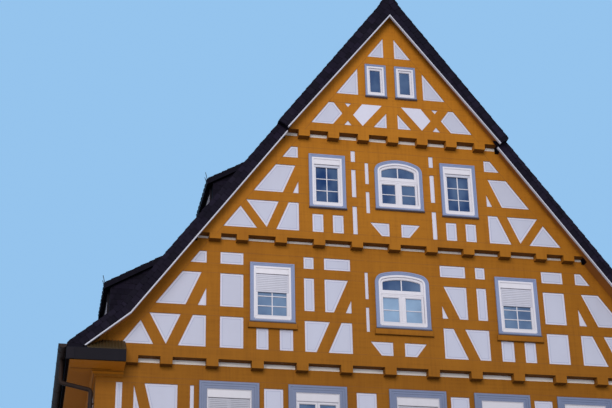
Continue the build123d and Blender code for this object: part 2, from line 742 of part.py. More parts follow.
def return_roof(s):
    """Small pent roof over the cornice return, its skirt in front of the foot of the verge."""
    near, out = RETURN_X - 50, EAVE_X + 20
    depth = FASCIA + VERGE_TRIM + 2
    high = WALL_TOP - CORNICE_HIGH
    with BuildPart() as pent:
        with BuildSketch(side(s * RETURN_X)):
            poly([(-y, WALL_TOP + z) for y, z in PENT] + [(-RETURN, high), (-JETTY, high)])
        extrude(amount=s * (HALF_WIDTH + CORNICE - RETURN_X))
        with BuildSketch(face(-RETURN + 2)):
            poly(flip(band(depth, -FAR, near, out), s))
        extrude(amount=-RETURN, mode=Mode.SUBTRACT)
    return pent


for s, name in ((-1, "left"), (1, "right")):
    save(cornice(s), f"{name}_cornice")
with BuildPart() as return_roofs:
    add([return_roof(s).part for s in (-1, 1)])
save(return_roofs, "return_roofs")


# rain goods
GUTTER_Z = slate(EAVE_X) - GUTTER_DROP


def gutter(s):
    """Half round gutter hung on the plumb cut of the slates."""
    with BuildPart() as trough:
        with BuildSketch(face(VERGE_Y[0] - 40)):
            with Locations((s * GUTTER_X, GUTTER_Z)):
                Circle(GUTTER_R)
                Circle(GUTTER_R - 5, mode=Mode.SUBTRACT)
            rect(s * (GUTTER_X - 200), GUTTER_Z, s * (GUTTER_X + 200), GUTTER_Z + 200, Mode.SUBTRACT)
            rect(s * EAVE_X, GUTTER_Z - 70, s * (EAVE_X + 4), GUTTER_Z)
        extrude(amount=-(BACK_VERGE - VERGE_Y[0] + 80))
    return trough


def downpipe(s):
    """Round pipe with a swan neck from the gutter to the wall and down to the ground."""
    wall = HALF_WIDTH + 75
    y = PIPE_Y - DEPTH / 2
    with BuildPart() as pipe:
        with BuildLine() as path:
            Polyline((s * GUTTER_X, y, GUTTER_Z - GUTTER_R), (s * GUTTER_X, y, WALL_TOP - NECK[0]),
                     (s * wall, y, WALL_TOP - NECK[1]), (s * wall, y, 160), (s * (wall + 160), y, 60))
        with BuildSketch(Plane(origin=path.line @ 0, z_dir=path.line % 0)):
            RegularPolygon(PIPE_R, 12)
        sweep(path=path.line, transition=Transition.RIGHT)
        for z in PIPE_CLIPS:
            block(s * HALF_WIDTH, s * (HALF_WIDTH + 60), PIPE_Y - 12, PIPE_Y + 12, z, z + 30)
    return pipe


with BuildPart() as gutters:
    add([gutter(s).part for s in (-1, 1)])
save(gutters, "gutters")
with BuildPart() as downpipes:
    add([downpipe(s).part for s in (-1, 1)])
save(downpipes, "downpipes")


# windows and door: (plane, inward sign, windows, casing width, shutter drop)
SETS = [(face(0), -1, FRONT_WINDOWS, CASING, SHUTTER), (face(0), -1, FRONT_GROUND, 0, 0),
        (face(DEPTH), 1, BACK_WINDOWS, CASING, SHUTTER), (face(DEPTH), 1, BACK_GROUND, 0, 0)]
for s in (-1, 1):
    SETS += [(side(s * HALF_WIDTH), -s, SIDE_WINDOWS, CASING, SHUTTER),
             (side(s * HALF_WIDTH), -s, SIDE_GROUND, 0, 0)]
for n in range(3):
    SETS += [(face(TIER_Y[n]), -1, TIER_WINDOWS[n], TIER_CASING[n], TIER_SHUTTER[n]),
             (face(DEPTH), 1, BACK_TIER_WINDOWS[n], TIER_CASING[n], 0)]
for d in DORMERS:
    low, high = dormer_window(d)
    panes = [(y + DORMER_W / 2, low, DORMER_W - 2 * DORMER_POST, high - low, 0) for y in d[2]]
    SETS += [(side(s * (d[1] - DORMER_EAVE)), -s, panes, DORMER_CASING, 0) for s in (-1, 1)]


def layer(start, thick, draw):
    """One layer of every window, drawn set by set and joined in one step."""
    with BuildPart() as pieces:
        layers = []
        for plane, inward, wins, case, shut in SETS:
            if (case or draw is not casing_band) and (shut or draw is not shutter_curtain):
                with BuildSketch(plane.offset(inward * start)):
                    draw(wins, case, shut)
                layers.append(extrude(amount=inward * thick, mode=Mode.PRIVATE))
        add(layers)
    return pieces


def casing_band(wins, case, shut):
    """Casing round each opening."""
    holes(wins, case)
    holes(wins, mode=Mode.SUBTRACT)


def sill_front(wins, case, shut):
    """Sill under each casing."""
    for x, z, width, height, rise in wins:
        half = width / 2 + case + 25
        rect(x - half, z - case - 34, x + half, z - case)


def sash_frame(wins, case, shut):
    """Frame round each pane, narrower at the small windows, with a transom under an arch."""
    holes(wins)
    holes(wins, -SASH * (0.7 if wins[0][2] < 500 else 1), Mode.SUBTRACT)
    for x, z, width, height, rise in wins:
        if rise:
            rect(x - width / 2, z + height - TRANSOM[1], x + width / 2, z + height - TRANSOM[0])


def shutter_curtain(wins, case, shut):
    """Lowered part of each roller shutter."""
    for x, z, width, height, rise in wins:
        if not rise:
            rect(x - width / 2, z + height - shut, x + width / 2, z + height)


save(layer(0, -BOARD, casing_band), "window_casings")
save(layer(0, -90, sill_front), "window_sills")
save(layer(70, 40, sash_frame), "window_sashes")
save(layer(110, 8, lambda wins, case, shut: holes(wins)), "window_glass")
save(layer(20, 24, shutter_curtain), "roller_shutters")

with BuildPart() as front_door:
    x0, x1 = DOOR_X - DOOR_W / 2, DOOR_X + DOOR_W / 2
    block(x0, x1, 110, 180, 0, DOOR_H)
    block(x0 - DOOR_CASING, x1 + DOOR_CASING, -60, 0, 0, DOOR_H + DOOR_CASING)
    block(x0 + DOOR_FRAME, x1 - DOOR_FRAME, -60, 0, 0, DOOR_H - DOOR_FRAME, Mode.SUBTRACT)
    block(x0, x0 + DOOR_FRAME, -10, 120, 0, DOOR_H)
    block(x1 - DOOR_FRAME, x1, -10, 120, 0, DOOR_H)
    block(x0, x1, -10, 120, DOOR_H - DOOR_FRAME, DOOR_H)
save(front_door, "front_door")
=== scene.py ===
"""Half timbered town house: finishes, slates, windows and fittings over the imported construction."""

# %% [markdown]
# # Half timbered town house
#
# The house is a frame of oak posts, rails and braces with plaster between them, under a steep roof
# of slate. Its construction arrives as solids, one for each named node. They keep their shape and
# get materials here. What is too fine for solids, such as slates, mouldings and glazing bars, is
# added as thin surfaces in front of them. Lengths are metres: X runs along the front, Y back and Z
# up, with the origin in the middle of the plan.

import math
from collections import namedtuple

import bmesh
import bpy
import numpy as np
from mathutils import Matrix, Vector


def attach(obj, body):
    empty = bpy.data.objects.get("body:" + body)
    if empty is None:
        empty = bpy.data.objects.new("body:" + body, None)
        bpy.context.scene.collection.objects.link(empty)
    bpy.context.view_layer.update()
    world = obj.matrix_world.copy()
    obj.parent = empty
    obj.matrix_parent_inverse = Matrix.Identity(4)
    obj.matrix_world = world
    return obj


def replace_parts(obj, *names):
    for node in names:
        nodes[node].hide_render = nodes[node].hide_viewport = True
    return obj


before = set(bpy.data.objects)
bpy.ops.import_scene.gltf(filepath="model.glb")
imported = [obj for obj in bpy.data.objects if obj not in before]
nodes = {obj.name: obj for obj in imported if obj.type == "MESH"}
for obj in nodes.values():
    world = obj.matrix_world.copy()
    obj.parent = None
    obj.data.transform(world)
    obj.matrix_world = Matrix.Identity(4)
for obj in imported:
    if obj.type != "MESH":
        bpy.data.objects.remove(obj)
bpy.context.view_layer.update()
rng = np.random.default_rng(7)

# %% [markdown]
# ## Sizes
#
# A carpenter sets a house out from a few measures: the plan, the storeys, the pitch of the roof and
# how far each tier of the gable juts out. They could be measured on the solids. Named values say
# more, because the fittings further down are then worked out from the same sizes as the walls.

# %% Main sizes
FRONT, BACK, SIDE = -5.5, 5.5, 6.0
GROUND, STOREY = 4.0, 3.4
WALL_TOP = GROUND + 2 * STOREY
TIER_Z = [WALL_TOP, WALL_TOP + 2.653, WALL_TOP + 5.075]
TIER_OUT = [0.17, 0.34, 0.51]
PITCH, BELL = 1.365, 0.85
APEX = WALL_TOP + 8.675
KINK, EAVE = 5.6, 6.58
ROOF_THICK = 0.18
RUN, BELL_RUN = math.hypot(1, PITCH), math.hypot(1, BELL)
VERGE = [FRONT - 0.56, FRONT - 0.73]
STEP_Z = WALL_TOP + 5.26
STEP = (APEX - STEP_Z) / PITCH
BACK_VERGE = BACK + 0.26
DORMER_PITCH, DORMER_W, DORMER_ROOF, DORMER_SET = 0.58, 1.7, 0.11, 0.135
DORMER_RUN = math.hypot(1, DORMER_PITCH)
DORMERS = [(WALL_TOP + 2.066, 5.878), (WALL_TOP + 4.622, 3.787)]
DORMER_Y = [FRONT + 1.0, FRONT + 8.3]
DOOR_X = 0.377
print("ridge at", APEX, "eaves at", EAVE, "from the axis")

# %% Planes of the walls and of the roof
Wall = namedtuple("Wall", "origin u v out")


def plane(origin, u, v, out):
    """Plane through an origin, with two axes in it and one that looks away from the house."""
    return Wall(*(np.array(axis, float) for axis in (origin, u, v, out)))


def upright(origin, u, out):
    """Wall plane with its second axis straight up."""
    return plane(origin, u, (0, 0, 1), out)


def front_plane(out=0.0):
    """Plane parallel to the front wall, moved out of it."""
    return upright((0, FRONT - out, 0), (1, 0, 0), (0, -1, 0))


def slate_height(a):
    """Height of the roof's outer face at a distance from the axis: flatter past the kink."""
    return APEX - PITCH * a if a <= KINK else APEX - PITCH * KINK - BELL * (a - KINK)


def under_roof(a):
    """Height of the underside of the roof's flatter foot."""
    return APEX - PITCH * KINK - BELL * (a - KINK) - ROOF_THICK * BELL_RUN


BACK_WALL = upright((0, BACK, 0), (1, 0, 0), (0, 1, 0))
LEFT_WALL = upright((-SIDE, 0, 0), (0, 1, 0), (-1, 0, 0))
RIGHT_WALL = upright((SIDE, 0, 0), (0, 1, 0), (1, 0, 0))
WORLD = plane((0, 0, 0), (1, 0, 0), (0, 1, 0), (0, 0, 1))
print("kink of the roof at height", round(slate_height(KINK), 3))

# %% [markdown]
# ## Shapes on walls
#
# Casings, sills, slates and boards all lie on some plane of the house. Each could be modelled by
# hand and turned into place. Here every shape is worked out as numbers (u, v, h): along the plane,
# up it and out of it. The same few functions then serve the front, the sides and the roof slopes.
# Hundreds of like pieces go into one mesh, which is far quicker than hundreds of objects.

# %% A collector for many small surfaces
class Pieces:
    """Gathers like pieces, each with its own tone, before they become one mesh."""

    def __init__(self):
        self.points, self.faces, self.tones = [], [], []

    def add(self, wall, points, faces, tone=0.5):
        """Places points (u, v, h) at origin + u U + v V + h N and keeps the faces outward."""
        start = len(self.points)
        axes = np.array([wall.u, wall.v, wall.out])
        self.points.extend(wall.origin + np.asarray(points, float) @ axes)
        turn = -1 if np.linalg.det(axes) < 0 else 1
        self.faces.extend([[start + i for i in face[::turn]] for face in faces])
        self.tones.extend([tone] * len(points))

    def mesh(self, name, material, slot, smooth=False):
        """Makes the mesh object, with the tone as a point attribute."""
        data = bpy.data.meshes.new(name)
        data.from_pydata([tuple(p) for p in self.points], [], self.faces)
        data.attributes.new("tone", "FLOAT", "POINT").data.foreach_set("value", self.tones)
        data.polygons.foreach_set("use_smooth", [smooth] * len(data.polygons))
        data.materials.append(material)
        data.update()
        obj = bpy.data.objects.new(name, data)
        bpy.context.scene.collection.objects.link(obj)
        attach(obj, "root")
        print(name, len(data.polygons), "faces")
        return obj


# %% Outlines
def box_outline(u0, v0, u1, v1):
    """Rectangle between two corners, anticlockwise."""
    return np.array([(u0, v0), (u1, v0), (u1, v1), (u0, v1)], float)


def arch_outline(centre, sill, width, height, rise, corner=0.12, steps=14):
    """Opening with a flat arched head: the arc has radius (w*w/4 + r*r) / 2r, its ends are rounded."""
    half = width / 2
    if not rise:
        return box_outline(centre - half, sill, centre + half, sill + height)
    radius = (half * half + rise * rise) / (2 * rise)
    low = height - radius
    shoulder = half - corner
    middle = low + math.sqrt((radius - corner) ** 2 - shoulder ** 2)
    lean = math.atan2(shoulder, middle - low)
    round_end = np.linspace(math.pi / 2, lean, steps // 2)
    head = np.linspace(lean, 0, steps // 2)[1:]
    u = np.concatenate([shoulder + corner * np.sin(round_end), radius * np.sin(head)])
    v = np.concatenate([middle + corner * np.cos(round_end), low + radius * np.cos(head)])
    side = np.column_stack([np.concatenate([[half], u]), np.concatenate([[0.0], v])])
    mirrored = side[-2::-1] * (-1, 1)
    return np.vstack([side, mirrored]) + (centre, sill)


def mitres(outline):
    """At each corner, the step that moves both sides inward by one: (n1 + n2) / (1 + n1.n2)."""
    edge = np.roll(outline, -1, 0) - outline
    edge /= np.linalg.norm(edge, axis=1)[:, None]
    normal = np.column_stack([-edge[:, 1], edge[:, 0]])
    before = np.roll(normal, 1, 0)
    return (normal + before) / (1 + (normal * before).sum(1))[:, None]


def inset(outline, d):
    """Outline moved inward by d with mitred corners."""
    return outline + d * mitres(outline)


def area(outline):
    """Signed area of an outline: half the sum of u v' - v u' over its sides."""
    u, v = outline.T
    return 0.5 * float(np.dot(u, np.roll(v, -1)) - np.dot(v, np.roll(u, -1)))


def clip(outline, region):
    """Part of an outline inside a convex region: each side of the region cuts off what lies past it."""
    points = np.array(outline, float)
    for a, b in zip(region, np.roll(region, -1, 0)):
        side = (points - a) @ np.array([a[1] - b[1], b[0] - a[0]])
        after = np.roll(side, -1)
        crossing = side * after < 0
        share = np.divide(side, side - after, out=np.zeros(len(side)), where=crossing)
        cuts = points + (np.roll(points, -1, 0) - points) * share[:, None]
        both = np.stack([points, cuts], 1).reshape(-1, 2)
        points = both[np.column_stack([side >= 0, crossing]).ravel()]
        if len(points) < 3:
            return None
    return points


print("arched head has", len(arch_outline(0, 0, 1, 1, 0.1)), "corners")

# %% [markdown]
# A joiner makes a moulding by planing one profile along a board and mitring it at the corners. The
# surface is made in the same way: ring k is the outline moved inward by d_k and out of the wall by
# h_k. Bevel modifiers could round plain boxes too, but a profile gives the real steps and grooves.

# %% Mouldings, plates and bars
def ring_faces(rings, count):
    """Quads between neighbouring rings of a grid whose columns close on themselves."""
    k, i = np.meshgrid(np.arange(rings - 1) * count, np.arange(count), indexing="ij")
    after = (i + 1) % count
    return np.stack([k + i, k + after, k + count + after, k + count + i], -1).reshape(-1, 4).tolist()


def sweep(pieces, wall, outline, profile, cap=False, tone=0.5):
    """Moulding round an outline: ring k is the outline inset by d_k, standing h_k out of the wall."""
    n = len(outline)
    d, h = np.array(profile, float).T[:, :, None, None]
    flat = outline + d * mitres(outline)
    points = np.concatenate([flat, np.broadcast_to(h, (len(profile), n, 1))], 2).reshape(-1, 3)
    faces = ring_faces(len(profile), n)
    if cap:
        faces.append([(len(profile) - 1) * n + i for i in range(n)])
    pieces.add(wall, points, faces, tone)


def plate(pieces, wall, outline, low, high, edge=0.004, tone=0.5):
    """Flat piece with a chamfered front edge."""
    sweep(pieces, wall, outline, [(0, low), (0, high - edge), (edge, high)], True, tone)


def bar(pieces, wall, u0, v0, u1, v1, low, high, edge=0.004):
    """Straight bar between two corners."""
    outline = box_outline(min(u0, u1), min(v0, v1), max(u0, u1), max(v0, v1))
    plate(pieces, wall, outline, low, high, edge)


print("ring of a box has", len(ring_faces(2, 4)), "faces")

# %% [markdown]
# ## Materials
#
# Paint, plaster and slate look alike in one respect: rain and dust change them from place to place.
# That change could be painted by hand on each mesh. A few node groups do it instead, fed by the
# point's own place on the house, so that every material shares the same weather. The groups also
# carry painted shade: low on the house, and on faces that look down.

# %% Helpers that write nodes
def new_group(name, inputs, outputs):
    """Empty node group with its sockets."""
    group = bpy.data.node_groups.new(name, "ShaderNodeTree")
    for label, kind, value in inputs:
        socket = group.interface.new_socket(label, in_out="INPUT", socket_type=kind)
        socket.default_value = value
    for label, kind in outputs:
        group.interface.new_socket(label, in_out="OUTPUT", socket_type=kind)
    return group, group.nodes.new("NodeGroupInput"), group.nodes.new("NodeGroupOutput")


def put(tree, kind, **sockets):
    """New node; each keyword is a property or an input, given as a value or as a socket to link."""
    node = tree.nodes.new(kind)
    for key, value in sockets.items():
        if hasattr(node, key) and key not in node.inputs:
            setattr(node, key, value)
            continue
        numbered = key[0] == "i" and key[1:].isdigit()
        target = node.inputs[int(key[1:]) if numbered else key.replace("_", " ")]
        if isinstance(value, bpy.types.NodeSocket):
            tree.links.new(value, target)
        else:
            target.default_value = value
    return node


def mix(tree, factor, a, b):
    """Colour between a and b."""
    return put(tree, "ShaderNodeMix", data_type="RGBA", i0=factor, i6=a, i7=b).outputs[2]


def maths(tree, operation, a, b):
    """One sum on two values."""
    return put(tree, "ShaderNodeMath", operation=operation, i0=a, i1=b).outputs[0]


def noise(tree, vector, scale, detail=3.0, rough=0.5):
    """Noise between 0 and 1."""
    return put(tree, "ShaderNodeTexNoise", Vector=vector, Scale=scale, Detail=detail,
               Roughness=rough).outputs["Factor" if bpy.app.version >= (5, 0) else "Fac"]


def stretch(tree, vector, x, y, z):
    """Coordinates scaled differently along the three axes."""
    return put(tree, "ShaderNodeVectorMath", operation="MULTIPLY", i0=vector, i1=(x, y, z)).outputs[0]


def spread(tree, value, low, high, to_low=0.0, to_high=1.0):
    """Value mapped from one range to another and held inside it."""
    return put(tree, "ShaderNodeMapRange", Value=value, From_Min=low, From_Max=high, To_Min=to_low,
               To_Max=to_high).outputs[0]


def height_of(tree, vector):
    """Height above the ground."""
    return put(tree, "ShaderNodeSeparateXYZ", Vector=vector).outputs["Z"]


# %% [markdown]
# The weather group mixes a clean colour towards a soiled one. Rain draws the dirt down in streaks, so
# one noise is stretched along Z, and a second, wide one clouds it. Below the eaves it also paints
# shade, darker towards the street: the amount of that painted shade is each material's own.

# %% Weather group, with painted shade
weather, weather_in, weather_out = new_group(
    "weather",
    [("Color", "NodeSocketColor", (0.5, 0.5, 0.5, 1)), ("Dirt", "NodeSocketColor", (0.2, 0.2, 0.2, 1)),
     ("Amount", "NodeSocketFloat", 0.3), ("Scale", "NodeSocketFloat", 1.0),
     ("Shade", "NodeSocketFloat", 0.0)],
    [("Color", "NodeSocketColor"), ("Relief", "NodeSocketFloat")])


def scaled(vector):
    """Coordinates times the group's scale."""
    return put(weather, "ShaderNodeVectorMath", operation="SCALE", i0=vector,
               Scale=weather_in.outputs["Scale"]).outputs[0]


def product(a, b):
    """Two values of the weather group multiplied."""
    return maths(weather, "MULTIPLY", a, b)


place = put(weather, "ShaderNodeTexCoord").outputs["Object"]
streaks = noise(weather, scaled(stretch(weather, place, 3.0, 3.0, 0.5)), 1.0, 5.0, 0.62)
clouds = noise(weather, scaled(place), 0.7, 4.0, 0.55)
grit = noise(weather, place, 90.0, 3.0, 0.6)
soil = maths(weather, "ADD", product(spread(weather, streaks, 0.35, 0.75), 0.55),
             product(spread(weather, clouds, 0.35, 0.7), 0.45))
tinted = mix(weather, product(soil, weather_in.outputs["Amount"]), weather_in.outputs["Color"],
             weather_in.outputs["Dirt"])
# Painted shade: below 12.6 m the colour darkens towards the street, by each material's Shade amount.
low = spread(weather, height_of(weather, place), 9.5, 12.6, 1.0, 0.0)
tinted = mix(weather, product(low, weather_in.outputs["Shade"]), tinted, (0.01, 0.01, 0.01, 1))
weather.links.new(tinted, weather_out.inputs["Color"])
relief = maths(weather, "ADD", product(grit, 0.5), product(streaks, 0.5))
weather.links.new(relief, weather_out.inputs["Relief"])
print("weather group", len(weather.nodes), "nodes")

# %% A painted or plastered surface
def painted(name, color, dirt, amount, scale=1.0, roughness=0.6, bump=0.002, tone=0.0, metallic=0.0,
            coat=0.0, shade=0.0, shine=0.5):
    """Weather group material with painted shade, its colour also varied by the tone of each piece."""
    material = bpy.data.materials.new(name)
    material.use_nodes = True
    tree = material.node_tree
    shader = tree.nodes["Principled BSDF"]
    worn_and_shaded = put(tree, "ShaderNodeGroup", node_tree=weather)
    worn_and_shaded.inputs["Color"].default_value = (*color, 1)
    worn_and_shaded.inputs["Dirt"].default_value = (*dirt, 1)
    worn_and_shaded.inputs["Amount"].default_value = amount
    worn_and_shaded.inputs["Scale"].default_value = scale
    worn_and_shaded.inputs["Shade"].default_value = shade
    base = worn_and_shaded.outputs["Color"]
    if tone:
        value = put(tree, "ShaderNodeAttribute", attribute_name="tone").outputs["Fac"]
        base = put(tree, "ShaderNodeHueSaturation",
                   Value=spread(tree, value, 0.0, 1.0, 1.0 - tone, 1.0 + tone), Color=base).outputs[0]
    tree.links.new(base, shader.inputs["Base Color"])
    shader.inputs["Roughness"].default_value = roughness
    shader.inputs["Metallic"].default_value = metallic
    shader.inputs["Coat Weight"].default_value = coat
    shader.inputs["Specular IOR Level"].default_value = shine
    rough = put(tree, "ShaderNodeBump", Strength=0.6, Distance=bump, Height=worn_and_shaded.outputs["Relief"])
    tree.links.new(rough.outputs[0], shader.inputs["Normal"])
    return material, tree, shader, worn_and_shaded


# %% [markdown]
# Under the jetties and eaves the lamps alone don't give the right light and shade, so the timber paints
# its own shading onto faces that look down. The underside group answers how far a face looks down, from
# 0 to 1.

# %% Underside group
underside, underside_in, underside_out = new_group(
    "underside", [("From", "NodeSocketFloat", 0.35), ("To", "NodeSocketFloat", 0.85)],
    [("Mask", "NodeSocketFloat")])
facing = height_of(underside, put(underside, "ShaderNodeNewGeometry").outputs["True Normal"])
downward = put(underside, "ShaderNodeMapRange", Value=maths(underside, "MULTIPLY", facing, -1.0),
               From_Min=underside_in.outputs["From"], From_Max=underside_in.outputs["To"])
underside.links.new(downward.outputs[0], underside_out.inputs["Mask"])
print("underside group", len(underside.nodes), "nodes")

# %% [markdown]
# The oak is painted ochre. Its grain shows through as fine lines along rails and posts, so two noises
# are stretched, one along X and one along Z. The paint is paler towards the ridge and darker above
# the street. A picture of wood would repeat; the noises never do.

# %% Timber
GRAIN_FINE, GRAIN_ALONG = 24.0, 0.8
HEIGHT_TONE_LOW, HEIGHT_TONE_HIGH = 9.5, 18.0


def timber_material(name, below, underside_shading):
    """Ochre paint on oak: grain, broad tones, paler with height, painted shading where it looks down.
    """
    material, tree, shader, worn_and_shaded = painted(name, (0.36, 0.136, 0.010), (0.25, 0.086, 0.006), 0.7,
                                           1.3, 0.7, 0.004, shine=0.12)
    place = put(tree, "ShaderNodeTexCoord").outputs["Object"]
    along = noise(tree, stretch(tree, place, GRAIN_ALONG, 16.0, GRAIN_FINE), 1.0, 5.0, 0.6)
    up = noise(tree, stretch(tree, place, GRAIN_FINE, 16.0, GRAIN_ALONG), 1.0, 5.0, 0.6)
    grain = maths(tree, "MULTIPLY", maths(tree, "ADD", along, up), 0.5)
    dark = spread(tree, grain, 0.38, 0.52, 0.22, 0.0)
    base = mix(tree, dark, worn_and_shaded.outputs["Color"], (0.135, 0.042, 0.004, 1))
    height_tone = spread(tree, height_of(tree, place), HEIGHT_TONE_LOW, HEIGHT_TONE_HIGH, 0.66, 1.26)
    base = put(tree, "ShaderNodeHueSaturation", Value=height_tone, Color=base).outputs[0]
    mask = put(tree, "ShaderNodeGroup", node_tree=underside).outputs["Mask"]
    base = mix(tree, maths(tree, "MULTIPLY", mask, below), base, (*underside_shading, 1))
    tree.links.new(base, shader.inputs["Base Color"])
    rough = put(tree, "ShaderNodeBump", Strength=0.4, Distance=0.004,
                Height=maths(tree, "ADD", grain, worn_and_shaded.outputs["Relief"]))
    tree.links.new(rough.outputs[0], shader.inputs["Normal"])
    return material


# Painted shading on faces that look down: dark shade on the timber, a brighter, redder orange on the
# eave box's soffit.
TIMBER = timber_material("timber", 0.9, (0.095, 0.034, 0.004))
EAVES = timber_material("eaves", 0.8, (0.42, 0.135, 0.004))
print("timber", len(TIMBER.node_tree.nodes), "nodes")

# %% [markdown]
# From the street a pane shows no room, only sky: pale where it mirrors the bright side, deep blue
# elsewhere. Clear glass before an empty house would look black. So the reflection is painted: the
# pane is a smooth blue face whose tone each window sets, with a slow wave in its normal, as old
# glass has.

# %% Glass
def glass_material():
    """Pane with a painted reflection, its tone running from deep blue to pale blue."""
    material = bpy.data.materials.new("pane")
    material.use_nodes = True
    tree = material.node_tree
    shader = tree.nodes["Principled BSDF"]
    place = put(tree, "ShaderNodeTexCoord").outputs["Object"]
    tone = put(tree, "ShaderNodeAttribute", attribute_name="tone").outputs["Fac"]
    # Painted reflection: broad patches make each pane paler in places and deeper in others.
    reflection_patches = noise(tree, stretch(tree, place, 1.9, 1.9, 1.5), 1.0, 3.0)
    reflection_patch = spread(tree, reflection_patches, 0.3, 0.7, -0.16, 0.16)
    share = put(tree, "ShaderNodeMath", operation="ADD", use_clamp=True, i0=tone, i1=reflection_patch).outputs[0]
    base = mix(tree, share, (0.005, 0.022, 0.100, 1), (0.26, 0.375, 0.54, 1))
    tree.links.new(base, shader.inputs["Base Color"])
    wave = put(tree, "ShaderNodeBump", Strength=0.12, Distance=0.002,
               Height=noise(tree, place, 6.0, 1.0))
    tree.links.new(wave.outputs[0], shader.inputs["Normal"])
    shader.inputs["Roughness"].default_value = 0.07
    return material


PANE = glass_material()
print("pane", len(PANE.node_tree.nodes), "nodes")

# %% [markdown]
# Slate is split, not cut: its face is riven, and no two slates have quite the same tone. The relief is
# a noise with many octaves, the tone comes with each slate, and the sheen changes with the relief.

# %% Slate
def slate_material(name, color, dirt, tone, bloom):
    """Split slate: each slate has its own tone, with fine riven relief and pale bloom."""
    material, tree, shader, _ = painted(name, color, dirt, bloom, 2.2, 0.7, 0.003, tone=tone)
    place = put(tree, "ShaderNodeTexCoord").outputs["Object"]
    riven = noise(tree, stretch(tree, place, 14.0, 9.0, 14.0), 1.0, 6.0, 0.7)
    rough = put(tree, "ShaderNodeBump", Strength=0.5, Distance=0.005, Height=riven)
    tree.links.new(rough.outputs[0], shader.inputs["Normal"])
    tree.links.new(spread(tree, riven, 0.3, 0.7, 0.6, 0.8), shader.inputs["Roughness"])
    shader.inputs["Specular IOR Level"].default_value = 0.06
    return material


SLATE = slate_material("slate", (0.0065, 0.0045, 0.0120), (0.014, 0.012, 0.019), 0.35, 0.5)
print("slate", len(SLATE.node_tree.nodes), "nodes")

# %% [markdown]
# The other finishes differ only in their values. Colours are linear, so a mid grey is about 0.2. Each
# line gives the clean colour, the soiled one, how much soil there is, its scale, the roughness and
# the depth of the relief in metres.

# %% Plaster, stone and roof edges
def plain(*values, **more):
    """Painted material alone, for finishes that need no further nodes."""
    return painted(*values, **more)[0]


# shade is the amount of painted shade each finish gets low on the house.
PLASTER = plain("plaster", (0.58, 0.575, 0.69), (0.46, 0.45, 0.54), 0.4, 0.9, 0.88, 0.004, shade=0.12)
FIELD = plain("field", (0.475, 0.49, 0.61), (0.40, 0.40, 0.49), 0.45, 0.9, 0.88, 0.004)
LINE = plain("line", (0.34, 0.36, 0.50), (0.38, 0.39, 0.51), 0.5, 4.0, 0.85, 0.002)
# Painted light: the strips between the joists under the jetties are paler than the walls, for the
# bounce light from below.
LIT_STRIP = plain("strip", (0.80, 0.75, 0.72), (0.60, 0.55, 0.52), 0.4, 1.5, 0.88, 0.004)
RENDER = plain("render", (0.58, 0.56, 0.58), (0.34, 0.32, 0.32), 0.5, 0.8, 0.9, 0.009)
PLINTH = plain("plinth", (0.23, 0.205, 0.175), (0.11, 0.10, 0.09), 0.6, 2.0, 0.85, 0.008, tone=0.2)
TRIM = plain("trim", (0.50, 0.51, 0.60), (0.30, 0.31, 0.36), 0.5, 2.0, 0.55)
SKIRT = plain("skirt", (0.009, 0.007, 0.011), (0.018, 0.015, 0.020), 0.5, 3.0, 0.7, 0.002, tone=0.2,
              shine=0.1)
SHEET = plain("sheet", (0.085, 0.052, 0.018), (0.035, 0.022, 0.010), 0.6, 3.0, 0.5, 0.002,
              metallic=0.4)
GUTTER = plain("gutter", (0.020, 0.011, 0.009), (0.036, 0.022, 0.018), 0.6, 2.0, 0.6, shine=0.12)

# %% Windows, door and joinery
# shade is the amount of painted shade each finish gets low on the house.
CASING = plain("casing", (0.215, 0.258, 0.42), (0.14, 0.165, 0.26), 0.45, 2.5, 0.5, 0.0015, shade=0.5)
# Painted shade: the sills are coloured dark for the shade under them, seen from below.
SILL = plain("sill", (0.085, 0.080, 0.115), (0.05, 0.048, 0.065), 0.5, 2.5, 0.5)
SASH = plain("sash", (0.66, 0.635, 0.70), (0.50, 0.49, 0.52), 0.3, 3.0, 0.38, 0.001, shade=0.2)
SHUTTER = plain("shutter", (0.52, 0.515, 0.60), (0.36, 0.36, 0.42), 0.4, 3.0, 0.42, 0.001, shade=0.36)
DOOR = plain("door", (0.10, 0.045, 0.018), (0.05, 0.022, 0.010), 0.5, 3.0, 0.4, 0.002, coat=0.3)
BRASS = plain("brass", (0.48, 0.31, 0.10), (0.20, 0.12, 0.04), 0.5, 8.0, 0.3, 0.0005, metallic=1.0)
SEAM = plain("seam", (0.19, 0.064, 0.006), (0.07, 0.022, 0.003), 0.5, 6.0, 0.8, 0.001)
SOFFIT = plain("soffit", (0.30, 0.100, 0.008), (0.16, 0.050, 0.004), 0.6, 2.0, 0.7, 0.003)
EAVE_BOARDS = plain("eave_boards", (0.105, 0.036, 0.004), (0.05, 0.016, 0.002), 0.6, 2.0, 0.7, 0.003)
print("materials", len(bpy.data.materials))

# %% Finishes of the nodes
BY_SLOT = {"timber": TIMBER, "plaster": PLASTER, "render": RENDER, "slate": SLATE, "trim": TRIM,
           "casing": CASING, "sill": SILL, "sash": SASH, "pane": PANE, "shutter": SHUTTER,
           "gutter": GUTTER, "boards": EAVE_BOARDS, "door": DOOR}
for obj in nodes.values():
    finish = obj.material_slots[0].material.name.split(".")[0]
    obj.material_slots[0].material = BY_SLOT[finish]
for name, finish in (("verge_soffit", SOFFIT), ("return_roofs", SKIRT), ("jetty_infill", LIT_STRIP)):
    nodes[name].material_slots[0].material = finish
print("nodes finished", len(nodes))

# %% [markdown]
# ## Plaster panels
#
# A painter edges every panel with a thin line, a hand's width inside the timber, and the field within
# it is a shade darker. The line could be a texture, but it has to follow a hundred odd shapes. So the
# outline of each panel is read from its solid, moved inward, and laid on as a ribbon a millimetre
# thick.

